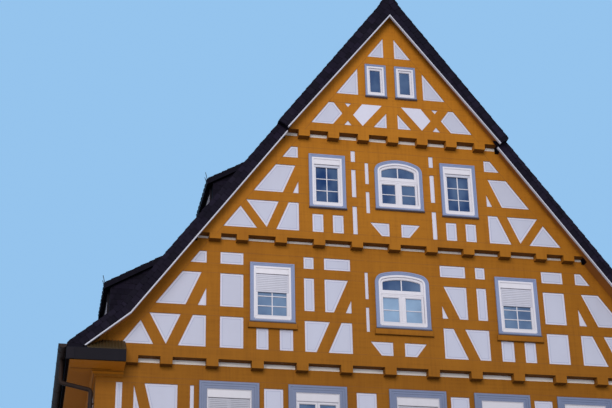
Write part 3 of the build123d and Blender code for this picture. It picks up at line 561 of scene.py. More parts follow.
# %% Read the panels
def panel_outlines(node, out):
    """Outer faces of the separate panels of a node that look along out, as closed 3-D loops."""
    work = bmesh.new()
    work.from_mesh(nodes[node].data)
    bmesh.ops.remove_doubles(work, verts=work.verts, dist=1e-4)
    facing = {face for face in work.faces if face.normal.dot(Vector(out)) > 0.99}
    rim = {}
    for face in facing:
        for loop in face.loops:
            if not any(other in facing for other in loop.edge.link_faces if other is not face):
                rim[loop.vert] = loop.link_loop_next.vert
    loops = []
    while rim:
        start, vert = rim.popitem()
        ring = [start]
        while vert is not start and vert in rim:
            ring.append(vert)
            vert = rim.pop(vert)
        loops.append(np.array([v.co[:] for v in ring]))
    work.free()
    return loops


def corners_only(outline):
    """Outline without the points that lie on a straight run."""
    a = outline - np.roll(outline, 1, 0)
    b = np.roll(outline, -1, 0) - outline
    turn = np.abs(a[:, 0] * b[:, 1] - a[:, 1] * b[:, 0])
    return outline[turn / (np.linalg.norm(a, axis=1) * np.linalg.norm(b, axis=1)) > 0.02]


# %% [markdown]
# Beside the crossings of the top tier the panel runs on to a point between the two braces, where the
# solid frame has a post. A thin panel with that point is laid over the post.

# %% Pointed panels
CROSSING_POST, CROSSING_POINT = 0.664, (0.854, 0.594)


def pointed(outline):
    """Panel beside a crossing of the top tier with its point added, or None for any other panel."""
    for i, (a, b) in enumerate(zip(outline, np.roll(outline, -1, 0))):
        off = max(abs(abs(a[0]) - CROSSING_POST), abs(abs(b[0]) - CROSSING_POST))
        if a[1] > TIER_Z[2] and off < 0.004:
            tip = (math.copysign(CROSSING_POINT[0], a[0]), TIER_Z[2] + CROSSING_POINT[1])
            return np.insert(outline, i + 1, tip, 0)
    return None


# %% Lines, fields and pointed panels
LINE_IN, LINE_W = 0.040, 0.012
PANEL_SIDES = [("front_infill", (0, -1, 0)), ("gable_infill", (0, -1, 0)), ("back_infill", (0, 1, 0)),
               ("side_infill", (-1, 0, 0)), ("side_infill", (1, 0, 0))]
lines, fields, corner_panels = Pieces(), Pieces(), Pieces()
for node, out in PANEL_SIDES:
    for loop in panel_outlines(node, out):
        across = 1 if out[0] else 0
        if out[0] and loop[0, 0] * out[0] < 5:
            continue
        depth = float(np.dot(loop[0], out))
        wall = upright(np.array(out) * depth, (0, 1, 0) if across else (1, 0, 0), out)
        outline = corners_only(loop[:, [across, 2]])
        if area(outline) < 0:
            outline = outline[::-1]
        level = 0.0
        if out[1] < 0 and pointed(outline) is not None:
            outline, level = pointed(outline), 0.0155
            plate(corner_panels, wall, outline, -0.01, level, 0.001)
        inner = inset(outline, LINE_IN + LINE_W)
        ahead = (np.roll(inner, -1, 0) - inner) * (np.roll(outline, -1, 0) - outline)
        if len(outline) > 2 and ahead.sum(1).min() > 0 and area(inner) > 0.004:
            sweep(lines, wall, outline, [(LINE_IN, level + 0.0012), (LINE_IN + LINE_W, level + 0.0012)])
            sweep(fields, wall, outline, [(LINE_IN + LINE_W, level + 0.0010)], True)
lines.mesh("panel_lines", LINE, "plaster")
fields.mesh("panel_fields", FIELD, "plaster")
corner_panels.mesh("crossing_panels", PLASTER, "plaster")

# %% [markdown]
# ## Timber joints
#
# Rails run through between the posts and are pegged into them, so a fine dark joint shows along their
# edges. Cutting the solid frame there would cost many faces. A strip five millimetres wide and less
# than one thick, laid on the timber, shows the same joint.

# %% Sizes of the tiers
RAILS = [(0.150, 0.390, 1.049, 1.255, 1.973, 2.177, 2.439),
         (0.120, 0.289, 0.929, 1.140, 1.790, 1.972, 2.235),
         (0.140, 0.335, 0.874, 1.100, 1.905, 2.090)]
RAFTER = [0.405, 0.505, 0.540]
TierWindow = namedtuple("TierWindow", "u v w h rise")
TIER_WINDOWS = [
    [TierWindow(-2.577, 1.060, 0.730, 1.095, 0), TierWindow(2.577, 1.060, 0.730, 1.095, 0),
     TierWindow(0.120, 1.062, 0.960, 1.075, 0.080)],
    [TierWindow(-1.425, 0.923, 0.610, 1.075, 0), TierWindow(1.425, 0.923, 0.610, 1.075, 0),
     TierWindow(0.115, 0.985, 0.870, 1.000, 0.120)],
    [TierWindow(-0.330, 1.135, 0.350, 0.683, 0), TierWindow(0.330, 1.135, 0.350, 0.683, 0)]]
TIER_CASING = [0.090, 0.084, 0.058]
TIER_STRIP = [[(-0.655, -0.588)], [(-0.603, -0.526)], []]
SILL_BEAM, PLATE_LOW, PLATE_HIGH = 0.23, STOREY - 0.350, STOREY - 0.230


def field_edge(n, z):
    """Half width inside the sloping timbers of a tier at a height."""
    return (APEX - ROOF_THICK * RUN - RAFTER[n] - z) / PITCH


def seam(pieces, wall, u0, v0, u1, v1, width=0.005):
    """Narrow joint between two points of a wall."""
    along = np.array([u1 - u0, v1 - v0])
    side = np.array([-along[1], along[0]]) / np.linalg.norm(along) * width / 2
    a, b = np.array([u0, v0]), np.array([u1, v1])
    sweep(pieces, wall, np.array([a - side, b - side, b + side, a + side]), [(0, 0.0009)], True)


print("lowest tier", round(2 * field_edge(0, TIER_Z[0] + RAILS[0][0]), 2), "m wide between its rafters")

# %% Joints of the gable and of the storeys
seams = Pieces()
for n, heights in enumerate(RAILS):
    wall = front_plane(TIER_OUT[n])
    for rise in heights[1:]:
        z = TIER_Z[n] + rise
        breaks = [(win.u - win.w / 2, win.u + win.w / 2) for win in TIER_WINDOWS[n]
                  if win.v - TIER_CASING[n] < rise < win.v + win.h + TIER_CASING[n]]
        stops = [-field_edge(n, z), *sum(sorted(breaks + TIER_STRIP[n]), ()), field_edge(n, z)]
        for u0, u1 in zip(stops[::2], stops[1::2]):
            seam(seams, wall, u0, z, u1, z)
    low = TIER_Z[n] + heights[0]
    high = TIER_Z[n] + heights[-1] if n == 2 else TIER_Z[n + 1]
    for s in (-1, 1):
        seam(seams, wall, s * field_edge(n, low), low, s * field_edge(n, high), high)
for wall in (front_plane(), BACK_WALL):
    for level in (GROUND, GROUND + STOREY):
        for rise in (SILL_BEAM, PLATE_LOW, PLATE_HIGH):
            seam(seams, wall, -SIDE, level + rise, SIDE, level + rise)
seams.mesh("timber_joints", SEAM, "timber")

# %% [markdown]
# ## Windows
#
# Each opening has a painted casing, a frame set back in it, leaves with thin bars, often a roller
# shutter, and a sill. One modelled window could be copied and scaled, but scaling would also stretch
# its mouldings. So a table gives the measures of every window, and a loop builds each from profiles.

# %% Windows of the storeys
Window = namedtuple("Window", "wall u v w h rise case drop cols rows tone")
WINDOW_X, STOREY_DROP = [-3.416, -1.66, 0.377, 2.14, 3.9], [0.40, 0.17, 0.40, 0.62, 0.17]
BACK_X, SIDE_Y = [-3.4, 0.0, 3.4], [-2.5, 2.5]
WINDOW_W, CASE_W = 0.876, 0.15
FRONT_DOWN, FRONT_H = 0.405, 1.85
SIDE_DOWN, SIDE_H = 0.72, 1.6
GROUND_SILL, GROUND_H = 1.15, 1.8
side_places = [(wall, y) for wall in (LEFT_WALL, RIGHT_WALL) for y in SIDE_Y]


def storey_window(wall, u, ceiling, down, height, drop):
    """Window of a full storey, its head a measure down from the ceiling, with a roller shutter."""
    return Window(wall, u, ceiling - down - height, WINDOW_W, height, 0, CASE_W, drop, 2, 3, 0.3)


windows = []
for ceiling in (GROUND + STOREY, WALL_TOP):
    windows += [storey_window(front_plane(), x, ceiling, FRONT_DOWN, FRONT_H, drop)
                for x, drop in zip(WINDOW_X, STOREY_DROP)]
    windows += [storey_window(BACK_WALL, x, ceiling, FRONT_DOWN, FRONT_H, 0.4) for x in BACK_X]
    windows += [storey_window(wall, y, ceiling, SIDE_DOWN, SIDE_H, 0.4) for wall, y in side_places]
ground_places = [(front_plane(), x) for x in WINDOW_X if x != DOOR_X]
ground_places += [(BACK_WALL, x) for x in BACK_X] + side_places
windows += [Window(wall, u, GROUND_SILL, WINDOW_W, GROUND_H, 0, 0, 0, 2, 3, 0.25)
            for wall, u in ground_places]
print(len(windows), "windows in the storeys")

# %% Windows of the gables and dormers
# The last number of each look is the tone of the painted reflection in the panes, deep blue at 0.
TIER_LOOK = [(0.537, 2, 4, 0.42), (0.205, 2, 3, 0.05), (0.0, 1, 1, 0.16)]
BACK_GABLE = [(0, -1.5, 1.06, 0.73, 1.095), (0, 1.5, 1.06, 0.73, 1.095), (1, 0.0, 0.923, 0.73, 1.075),
              (2, 0.0, 1.0, 0.64, 0.85)]
DORMER_LIGHT_W, DORMER_CASE = DORMER_W - 0.56, 0.09


def dormer_eave(tip_z):
    """Height where a dormer's wall meets the underside of its roof."""
    return tip_z + DORMER_PITCH * DORMER_SET - DORMER_ROOF * DORMER_RUN


for n, look in enumerate(TIER_LOOK):
    windows += [Window(front_plane(TIER_OUT[n]), u, TIER_Z[n] + v, w, h, rise, TIER_CASING[n], *look)
                for u, v, w, h, rise in TIER_WINDOWS[n]]
windows += [Window(BACK_WALL, u, TIER_Z[n] + v, w, h, 0, TIER_CASING[n], 0, 2, 3, 0.3)
            for n, u, v, w, h in BACK_GABLE]
for tip_z, tip in DORMERS:
    a = tip - DORMER_SET
    sill = slate_height(a) + 0.2
    height = dormer_eave(tip_z) - 0.13 - sill
    for s in (-1, 1):
        wall = upright((s * a, 0, 0), (0, 1, 0), (s, 0, 0))
        windows += [Window(wall, y + DORMER_W / 2, sill, DORMER_LIGHT_W, height, 0, DORMER_CASE, 0,
                           2, 2, 0.3) for y in DORMER_Y]
print(len(windows), "windows in all")

# %% [markdown]
# A leaf is a mitred frame, a pane set back in its rebate and bars in front of the pane. Real bars
# hold small panes, but one pane behind them looks the same and costs far fewer faces.

# %% Opening leaves
casings, dark_casings, leaves, curtains, panes, sills, aprons = (Pieces() for _ in range(7))
FACE, GLASS_FACE, BAR_BACK, FRAME_BACK = -0.006, -0.042, -0.06, -0.07


def leaf(wall, u0, v0, u1, v1, edge, cols, rows, tone):
    """Opening leaf: a frame with a bevelled inner edge, thin glazing bars and its panes."""
    sweep(leaves, wall, box_outline(u0, v0, u1, v1),
          [(0, FRAME_BACK), (0, FACE - 0.004), (0.004, FACE), (edge - 0.012, FACE),
           (edge, FACE - 0.012), (edge, BAR_BACK)])
    left, low, right, high = u0 + edge, v0 + edge, u1 - edge, v1 - edge
    plate(panes, wall, box_outline(left, low, right, high), GLASS_FACE - 0.008, GLASS_FACE, 0.001, tone)
    for k in range(1, cols):
        u = left + (right - left) * k / cols
        bar(leaves, wall, u - 0.010, low, u + 0.010, high, BAR_BACK, -0.026)
    for k in range(1, rows):
        v = low + (high - low) * k / rows
        bar(leaves, wall, left, v - 0.009, right, v + 0.009, BAR_BACK, -0.028)


def plain_leaves(win, top, head):
    """One or two leaves that fill the opening up to the shutter's box, each pane with its own tone."""
    left, right = win.u - win.w / 2 + 0.026, win.u + win.w / 2 - 0.026
    pair = win.w > 0.8
    spans = [(left, win.u - 0.002), (win.u + 0.002, right)] if pair else [(left, right)]
    leaf_top = top - head - 0.01 if win.drop else top - 0.026
    edge = 0.046 if win.w > 0.4 else 0.036
    for u0, u1 in spans:
        leaf(win.wall, u0, win.v + 0.014, u1, leaf_top, edge, win.cols - pair, win.rows,
             win.tone + rng.uniform(-0.08, 0.08))


# %% [markdown]
# The middle windows end in a flat arch. Their upper light follows the arch, so its outline is cut
# from the outline of the opening. The two leaves under it stay square and meet at a middle post.

# %% Arched windows
def arched_light(win, outline, top):
    """Fixed light under an arch: frame along the arch, a thin middle bar and one bent pane."""
    light = clip(inset(outline, 0.026), box_outline(win.u - 9, top - 0.368, win.u + 9, top + 9))
    sweep(leaves, win.wall, light,
          [(0, FRAME_BACK), (0, FACE), (0.040, FACE), (0.052, FACE - 0.012), (0.052, BAR_BACK)])
    plate(panes, win.wall, inset(light, 0.050), GLASS_FACE - 0.008, GLASS_FACE, 0.001, 0.24)
    crown = light[:, 1].max()
    bar(leaves, win.wall, win.u - 0.011, top - 0.33, win.u + 0.011, crown - 0.045, BAR_BACK, -0.026)
    reach = win.w / 2 - 0.012
    for low, high, face in ((0.438, 0.340, -0.002), (0.408, 0.368, 0.007)):
        bar(leaves, win.wall, win.u - reach, top - low, win.u + reach, top - high, FRAME_BACK, face,
            0.008)


def arched_leaves(win, outline, top):
    """Arched light, middle post and cover strip, two leaves; painted reflection palest on the lowest
    tier.
    """
    arched_light(win, outline, top)
    bar(leaves, win.wall, win.u - 0.044, win.v + 0.02, win.u + 0.044, top - 0.44, -0.075, 0.0, 0.006)
    bar(leaves, win.wall, win.u - 0.016, win.v + 0.05, win.u + 0.016, top - 0.45, -0.02, 0.008)
    # Painted reflection: the arched panes of the lowest tier are pale, those of the tier above deep
    # blue.
    tone = 0.85 if win.wall.origin[1] > FRONT - 0.2 else 0.2
    reach = win.w / 2 - 0.030
    for u0, u1 in ((win.u - reach, win.u - 0.026), (win.u + 0.026, win.u + reach)):
        leaf(win.wall, u0, win.v + 0.014, u1, top - 0.436, 0.046, 1, 2, tone)


# %% [markdown]
# Roller shutters came later to such houses: a box over the leaf, a guide at each side and slats that
# hang out of the box. A striped texture would do from afar. Real strips, with a gap of three
# millimetres between them, also catch light and shade at their edges.

# %% Roller shutters
SLAT, SLAT_GAP = 0.040, 0.003


def shutter(win, top, head):
    """Box, two guides and slats down to the drop; a drawn-up shutter shows its last strip only."""
    left, right = win.u - win.w / 2, win.u + win.w / 2
    plate(leaves, win.wall, box_outline(left + 0.004, top - head, right - 0.004, top - 0.003),
          FRAME_BACK, 0.010, 0.004)
    for side in (left + 0.004, right - 0.032):
        bar(leaves, win.wall, side, win.v + 0.01, side + 0.028, top - head - 0.008, FRAME_BACK, 0.010)
    foot = top - win.drop
    hang = top - head - 0.01 - foot
    count = max(1, round(hang / SLAT))
    for k in range(count):
        low, high = sorted((foot + k * hang / count, foot + (k + 1) * hang / count - SLAT_GAP))
        sweep(curtains, win.wall, box_outline(left + 0.032, low, right - 0.032, high),
              [(0, -0.026), (0, -0.005), (0.004, -0.002)], True)


# %% [markdown]
# The casing is a stepped moulding mitred round the opening. Its profile is given in shares of its
# width, so one list serves wide and narrow casings. The sill sheds the rain and stands out furthest.

# %% Casings, frames and sills
CASING_PROFILE = [(-1, 0.0), (-1, 0.036), (-0.96, 0.040), (-0.72, 0.040), (-0.68, 0.031),
                  (-0.42, 0.031), (-0.38, 0.024), (-0.10, 0.024), (0, 0.020)]
APRON_BOARDS = [(0.036, 0.125, 0.012, 0.048, 0.008), (0.045, 0.140, 0.120, 0.058, 0.006)]


def casing(win, outline):
    """Casing round the opening and the frame in it, whose lip overlaps a narrow casing."""
    if win.case:
        on_dormer = win.wall.out[0] and win.case < 0.1
        sweep(dark_casings if on_dormer else casings, win.wall, outline,
              [(d * win.case, h) for d, h in CASING_PROFILE] + [(0, FRAME_BACK)])
    lip, ledge = (-0.016, 0.026) if 0 < win.case < 0.1 else (0.001, 0.0)
    sweep(leaves, win.wall, outline,
          [(lip, 0.0), (lip, 0.022), (lip + 0.004, 0.026), (0.024, ledge), (0.028, -0.075)])


def window_foot(win):
    """Bottom rail and sill, and under the windows of the lowest tier also two moulded boards."""
    left, right = win.u - win.w / 2, win.u + win.w / 2
    rail = box_outline(left + 0.006, win.v - 0.42 * win.case, right - 0.006, win.v + 0.052)
    sweep(leaves, win.wall, rail, [(0, -0.02), (0, 0.026), (0.012, 0.034), (0.030, 0.030)], True)
    out = win.case or 0.04
    left, right, below = left - out, right + out, win.v - win.case
    if win.case == TIER_CASING[0] and win.wall.out[1] < 0:
        for past, low, high, thick, edge in APRON_BOARDS:
            plate(aprons, win.wall, box_outline(left - past, below - low, right + past, below - high),
                  0, thick, edge)
    sweep(sills, win.wall, box_outline(left - 0.012, below - 0.016, right + 0.012, below + 0.008),
          [(0, 0), (0, 0.058), (0.006, 0.064)], True)


# %% Build every window
for win in windows:
    outline = arch_outline(win.u, win.v, win.w, win.h, win.rise)
    top, head = win.v + win.h, 0.17 if win.w > 0.8 else 0.14
    casing(win, outline)
    if win.rise:
        arched_leaves(win, outline, top)
    else:
        plain_leaves(win, top, head)
        if win.drop:
            shutter(win, top, head)
    window_foot(win)
for pieces, name, finish, slot, node in (
        (casings, "casing_mouldings", CASING, "casing", "window_casings"),
        (leaves, "window_leaves", SASH, "sash", "window_sashes"),
        (panes, "window_panes", PANE, "pane", "window_glass"),
        (curtains, "shutter_slats", SHUTTER, "shutter", "roller_shutters"),
        (sills, "drip_sills", SILL, "sill", "window_sills")):
    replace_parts(pieces.mesh(name, finish, slot), node)
aprons.mesh("window_aprons", TIMBER, "timber")
dark_casings.mesh("dormer_window_casings", SKIRT, "slate")

# %% [markdown]
# ## Roof slates
#
# Slates lap down the slope in courses: each lies on the one below, with its foot raised, and each
# course is shifted by half a slate. A picture with bumps would show no stepped edge against the sky,
# so every slate is a thin piece of its own. Its lower corners are trimmed, as a slater does it.

# %% Slopes and slates
def slope_axes(s, pitch):
    """Unit vectors up a slope and square to it."""
    run = math.hypot(1, pitch)
    return np.array((-s, 0, pitch)) / run, np.array((s * pitch, 0, 1)) / run


def slope(s, pitch, a, z, y=0.0):
    """Roof slope from distance a and height z: its first axis runs along the roof, its second up it."""
    return plane((s * a, y, z), (0, 1, 0), *slope_axes(s, pitch))


def slates(pieces, wall, region, width, course, holes=(), lap=0.012, base=0.002, cut=0.28):
    """Tiles a convex region with lapped slates, leaving out those whose middle is in a hole."""
    low, high = region.min(0), region.max(0)
    corner, gap = cut * width, 0.003
    for k in range(int((high[1] - low[1]) / course) + 1):
        v = low[1] + k * course
        shift = (0.5 * (k % 2) + rng.uniform(-0.04, 0.04)) * width
        for j in range(-1, int((high[0] - low[0]) / width) + 2):
            left = low[0] + j * width + shift + gap
            right = left + width - 2 * gap
            outline = np.array([
                (left + corner, v), (right - corner * 0.35, v), (right, v + corner * 0.5),
                (right, v + course), (left, v + course), (left, v + corner * 0.8)])
            middle = outline.mean(0)
            if any((middle > hole[0]).all() and (middle < hole[1]).all() for hole in holes):
                continue
            shape = clip(outline, region)
            if shape is None or abs(area(shape)) < 1e-4:
                continue
            n = len(shape)
            rise = base + lap * (1 - (shape[:, 1] - v) / course) + rng.uniform(0, 0.002)
            points = np.vstack([np.column_stack([shape, rise]), np.column_stack([shape, np.zeros(n)])])
            faces = [list(range(n))] + [face[::-1] for face in ring_faces(2, n)]
            pieces.add(wall, points, faces, float(rng.uniform()))


def dormer_meet(tip_z, tip, depth=0.0):
    """Distance from the axis where a dormer roof runs into the slates."""
    return (APEX - tip_z - DORMER_PITCH * tip + depth * DORMER_RUN) / (PITCH - DORMER_PITCH)


# %% Slate both slopes
SLATE_W, COURSE, OVERHANG = 0.27, 0.20, 0.035
SLOPE_LENGTH, SPLIT = KINK * RUN, (KINK - STEP) * RUN
FRONT_EDGE, BACK_EDGE = [y - OVERHANG for y in VERGE], BACK_VERGE + OVERHANG
gaps = []
for tip_z, tip in DORMERS:
    near, far = ((KINK - a) * RUN for a in (tip - 0.2, dormer_meet(tip_z, tip) + 0.1))
    gaps += [(np.array([y + 0.05, near]), np.array([y + DORMER_W - 0.05, far])) for y in DORMER_Y]
for s, side in ((-1, "left"), (1, "right")):
    main, foot = (slope(s, pitch, a, slate_height(a)) for pitch, a in ((PITCH, KINK), (BELL, EAVE)))
    roof = Pieces()
    for wall, y, low, high, holes in ((main, FRONT_EDGE[0], 0.0, SPLIT, gaps),
                                      (main, FRONT_EDGE[1], SPLIT, SLOPE_LENGTH - 0.10, gaps),
                                      (foot, FRONT_EDGE[0], 0.0, (EAVE - KINK) * BELL_RUN, ())):
        slates(roof, wall, box_outline(y, low, BACK_EDGE, high), SLATE_W, COURSE, holes)
    roof.mesh(f"roof_slates_{side}", SLATE, "slate")

# %% [markdown]
# The verge boards are clad with small slates and end in a white trim. The boards could be sheared
# boxes, but their ends meet at the kink and at the ridge. So each strip is an outline whose ends move
# by a share of its depth: the tangent of half the angle at the kink, and the pitch at the ridge.

# %% Verges
FASCIA, VERGE_DEPTH, TRIM_DEPTH, BOARD = (0.24, 0.24), (0.225, 0.315), 0.024, -0.04
KINK_MITRE = math.tan((math.atan(PITCH) - math.atan(BELL)) / 2)
verge, boards, trims = Pieces(), Pieces(), Pieces()


def verge_strip(s, y, out, pitch, a0, a1, depth, ends):
    """Board, slates and white trim along one verge; each end moves by its share of the depth."""
    wall = plane((s * a1, y, slate_height(a1)), *slope_axes(s, pitch), (0, out, 0))
    span = (a1 - a0) * math.hypot(1, pitch)
    top, edge, foot = ([(ends[0] * deep[0], -deep[0]), (span + ends[1] * deep[1], -deep[1])]
                       for deep in ((0.0, 0.0), depth, np.array(depth) + TRIM_DEPTH))
    clad = np.array([*edge, *top[::-1]])
    slates(verge, wall, clad, 0.17, 0.15, lap=0.006, base=0.001, cut=0.1)
    plate(boards, wall, clad, BOARD, 0.0, 0.001)
    plate(trims, wall, np.array([*foot, *edge[::-1]]), BOARD, 0.016, 0.003)


for s in (-1, 1):
    verge_strip(s, FRONT_EDGE[1], -1, PITCH, 0.0, STEP, VERGE_DEPTH, (0.0, -PITCH))
    for y, out, peak in ((FRONT_EDGE[0], -1, STEP), (BACK_EDGE, 1, 0.0)):
        verge_strip(s, y, out, PITCH, peak, KINK, FASCIA, (-KINK_MITRE, 0.0 if peak else -PITCH))
        verge_strip(s, y, out, BELL, KINK, EAVE, FASCIA, (BELL, KINK_MITRE))
boards.mesh("verge_backing", SLATE, "slate")
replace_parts(trims.mesh("verge_edges", TRIM, "trim"), "verge_trim")
verge.mesh("verge_slates", SLATE, "slate")

# %% [markdown]
# A dormer is clad like the roof, with smaller slates on its cheeks. A cheek is the shape between the
# main slope, the dormer's front and its roof, so its corners follow from where those lines cross.

# %% Dormers
dormer_slates = Pieces()
for tip_z, tip in DORMERS:
    a = tip - DORMER_SET
    meet_low, meet = dormer_meet(tip_z, tip, DORMER_ROOF), dormer_meet(tip_z, tip)
    cheek = [(a, slate_height(a)), (a, dormer_eave(tip_z)), (meet_low, slate_height(meet_low))]
    if a > KINK:
        cheek.append((KINK, slate_height(KINK)))
    for s in (-1, 1):
        outline = np.array(cheek) * (s, 1)
        outline = outline if area(outline) > 0 else outline[::-1]
        for y in DORMER_Y:
            for face_y, out in ((y, -1), (y + DORMER_W, 1)):
                wall = upright((0, face_y, 0), (1, 0, 0), (0, out, 0))
                slates(dormer_slates, wall, outline, 0.15, 0.12, lap=0.006, base=0.001, cut=0.1)
            top = box_outline(-0.09, 0.0, DORMER_W + 0.09, (tip - meet) * DORMER_RUN - 0.03)
            slates(dormer_slates, slope(s, DORMER_PITCH, tip, tip_z, y), top, 0.22, 0.17)
dormer_slates.mesh("dormer_slates", SLATE, "slate")

# %% [markdown]
# ## Eaves
#
# A boxed eave hides the feet of the rafters. Its moulding turns the corner of the house, and beyond
# the moulding the flat soffit of the box runs on. Where the verge comes down past the end of the
# box, the slates have boards under them, so a strip and a closing plate are laid there first.

# %% Soffit at the foot of the verge
BED_LOW, BED_HIGH = WALL_TOP - 0.258, WALL_TOP - 0.158
foot_soffit = Pieces()
for s in (-1, 1):
    up, out = slope_axes(s, BELL)
    under = plane((s * EAVE, 0, under_roof(EAVE)), (0, 1, 0), up, -out)
    strip = box_outline(VERGE[0] + 0.01, 0.12 * BELL_RUN, FRONT - 0.1, (EAVE - 5.9) * BELL_RUN)
    plate(foot_soffit, under, strip, 0.0, 0.012)
    closing = np.array([(s * 5.72, BED_HIGH), (s * 6.5, BED_HIGH), (s * 6.5, under_roof(6.5)),
                        (s * 5.72, under_roof(5.72))])
    plate(foot_soffit, front_plane(TIER_OUT[0] - 0.012), closing[::s], -0.03, 0.0, 0.001)
foot_soffit.mesh("foot_soffits", TIMBER, "timber")

# %% [markdown]
# The box itself has one section all along. Two mitred bars joined by a boolean would leave seams, so
# the section stands at three places, at the return, the corner and the back, and a skin joins them.

# %% Eave boxes
BOX_TOP = under_roof(6.52)
BED = [(0.0, 0.0), (0.035, 0.0), (0.045, 0.045), (0.085, 0.075), (0.085, 0.100)]
RETURN_X, EAVE_END = 5.475, BACK_VERGE - 0.02
REACH_FRONT, REACH_SIDE = 0.6, 0.52


def eave_box(s):
    """Closed skin: the section (distance out, height) stands at three places, mitred at the corner."""
    bed = np.array(BED) + (0, BED_LOW)
    out = np.append(bed[:, 0], [1, 1, 0])
    height = np.append(bed[:, 1], [BED_HIGH, BOX_TOP, BOX_TOP])
    far = out == 1
    front_y = FRONT - np.where(far, REACH_FRONT, out)
    side_x = SIDE + np.where(far, REACH_SIDE, out)
    start_x = np.full(len(out), RETURN_X)
    end_y = np.full(len(out), EAVE_END)
    rings = [np.column_stack([s * x, y, height])
             for x, y in ((start_x, front_y), (side_x, front_y), (side_x, end_y))]
    n = len(height)
    faces = ring_faces(3, n) + [list(range(n))[::-1], [2 * n + i for i in range(n)]]
    return np.vstack(rings), [face[::-s] for face in faces]


for s, side in ((-1, "left"), (1, "right")):
    skin = Pieces()
    skin.add(WORLD, *eave_box(s))
    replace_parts(skin.mesh(f"{side}_eave_box", EAVES, "timber"), f"{side}_cornice")

# %% [markdown]
# The little roof over the return is of folded sheet. Each sheet is a narrow plate with a standing
# seam at its edge, and it ends where it meets the underside of the main roof, so every sheet has its
# own length. A dark skirt closes the front corner below.

# %% Return roofs
PENT_TOP, PENT_FOOT, SHEET_W = (0.17, 0.42), (0.64, 0.085), 0.06
pent_fall = (PENT_TOP[1] - PENT_FOOT[1]) / (PENT_FOOT[0] - PENT_TOP[0])
pent_run = math.hypot(1, pent_fall)
pent = plane((0, FRONT - PENT_FOOT[0], WALL_TOP + PENT_FOOT[1]), (1, 0, 0),
             np.array((0, 1, pent_fall)) / pent_run, np.array((0, -pent_fall, 1)) / pent_run)
sheets, skirts = Pieces(), Pieces()
for s in (-1, 1):
    for a in np.arange(RETURN_X + 0.01, 6.2, SHEET_W):
        roof_z = min(slate_height(a + SHEET_W) - ROOF_THICK * RUN - 0.04, WALL_TOP + PENT_TOP[1])
        length = (roof_z - WALL_TOP - PENT_FOOT[1]) / pent_fall * pent_run
        u0, u1 = sorted((s * a, s * (a + SHEET_W)))
        plate(sheets, pent, box_outline(u0, 0.004, u1, length), -0.01, 0.003, 0.001,
              float(rng.uniform()))
        plate(sheets, pent, box_outline(u0 - 0.004, 0.004, u0 + 0.008, length), 0.0, 0.022, 0.002)
    bar(skirts, front_plane(0.59), s * 6.45, WALL_TOP - 0.145, s * 6.60, WALL_TOP + 0.085, 0.0, 0.056)
sheets.mesh("return_sheets", SHEET, "slate")
skirts.mesh("skirt_ends", SKIRT, "slate")

# %% [markdown]
# ## Rain goods
#
# Half round gutters hang in straps along both eaves, and a pipe leads the water down each front
# corner. A curve with a bevel would give the pipe. Here the path is worked out: straight runs joined
# by arcs that touch both, with a circle set square to the path at each point.

# %% Gutters
GUTTER_R, PIPE_R, BEND_R, SHEET_T = 0.085, 0.042, 0.0715, 0.004
GUTTER_X, GUTTER_Z = EAVE + GUTTER_R, slate_height(EAVE) - 0.045
GUTTER_Y = (VERGE[0] - 0.04, BACK_VERGE + 0.04)


def half_round(s, inner, outer, y0, y1):
    """Half circle x = r sin t, z = -r cos t at two radii, filled if the inner one is 0, along Y."""
    t = np.linspace(-math.pi / 2, math.pi / 2, 17)
    arcs = [(outer, t), (inner, t[::-1])] if inner else [(outer, t)]
    ring = np.vstack([np.column_stack([r * np.sin(turn), -r * np.cos(turn)]) for r, turn in arcs])
    n = len(ring)
    x, z = s * GUTTER_X + ring[:, 0], GUTTER_Z + ring[:, 1]
    points = np.vstack([np.column_stack([x, np.full(n, y), z]) for y in (y0, y1)])
    faces = ring_faces(2, n) + [list(range(n))[::-1], list(range(n, 2 * n))]
    return points, [face[::-1] for face in faces]


troughs = Pieces()
for s in (-1, 1):
    troughs.add(WORLD, *half_round(s, GUTTER_R - SHEET_T, GUTTER_R, *GUTTER_Y))
    for y in (GUTTER_Y[0], GUTTER_Y[1] - SHEET_T):
        troughs.add(WORLD, *half_round(s, 0, GUTTER_R, y, y + SHEET_T))
    for y in np.arange(GUTTER_Y[0] + 0.3, GUTTER_Y[1], 0.8):
        troughs.add(WORLD, *half_round(s, GUTTER_R - 0.001, GUTTER_R + 0.005, y, y + 0.03))
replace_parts(troughs.mesh("gutter_troughs", GUTTER, "gutter"), "gutters")

# %% Pipes
PIPE_Y, PIPE_OFF, HOOKS = FRONT + 0.09, 0.075, (1.0, 3.4, 5.8, 8.2, 10.0)


def rounded(corners, radius, steps=8):
    """Path through corners whose bends are arcs tangent to both runs."""
    corners = np.array(corners, float)
    path = [corners[:1]]
    share = np.linspace(0, 1, steps)[:, None]
    for a, b, c in zip(corners, corners[1:], corners[2:]):
        p, q = (a - b) / np.linalg.norm(a - b), (c - b) / np.linalg.norm(c - b)
        half = math.acos(np.clip(np.dot(p, q), -1, 1)) / 2
        centre = b + (p + q) / np.linalg.norm(p + q) * radius / math.sin(half)
        start, end = b + p * radius / math.tan(half) - centre, b + q * radius / math.tan(half) - centre
        angle = math.pi - 2 * half
        bend = np.sin((1 - share) * angle) * start + np.sin(share * angle) * end
        path.append(centre + bend / math.sin(angle))
    return np.vstack([*path, corners[-1:]])


def pipe(path, radius, sides=16):
    """Tube: at each point p of a path in an upright plane, the circle p + r (n cos t + y sin t)."""
    step = np.gradient(path, axis=0)
    step /= np.linalg.norm(step, axis=1)[:, None]
    t = np.linspace(0, 2 * math.pi, sides, endpoint=False)
    x = path[:, :1] + radius * step[:, 1:] * np.cos(t)
    z = path[:, 1:] - radius * step[:, :1] * np.cos(t)
    points = np.stack([x, np.broadcast_to(PIPE_Y + radius * np.sin(t), x.shape), z], -1).reshape(-1, 3)
    last = (len(path) - 1) * sides
    ends = [list(range(sides))[::-1], [last + i for i in range(sides)]]
    return points, ring_faces(len(path), sides) + ends


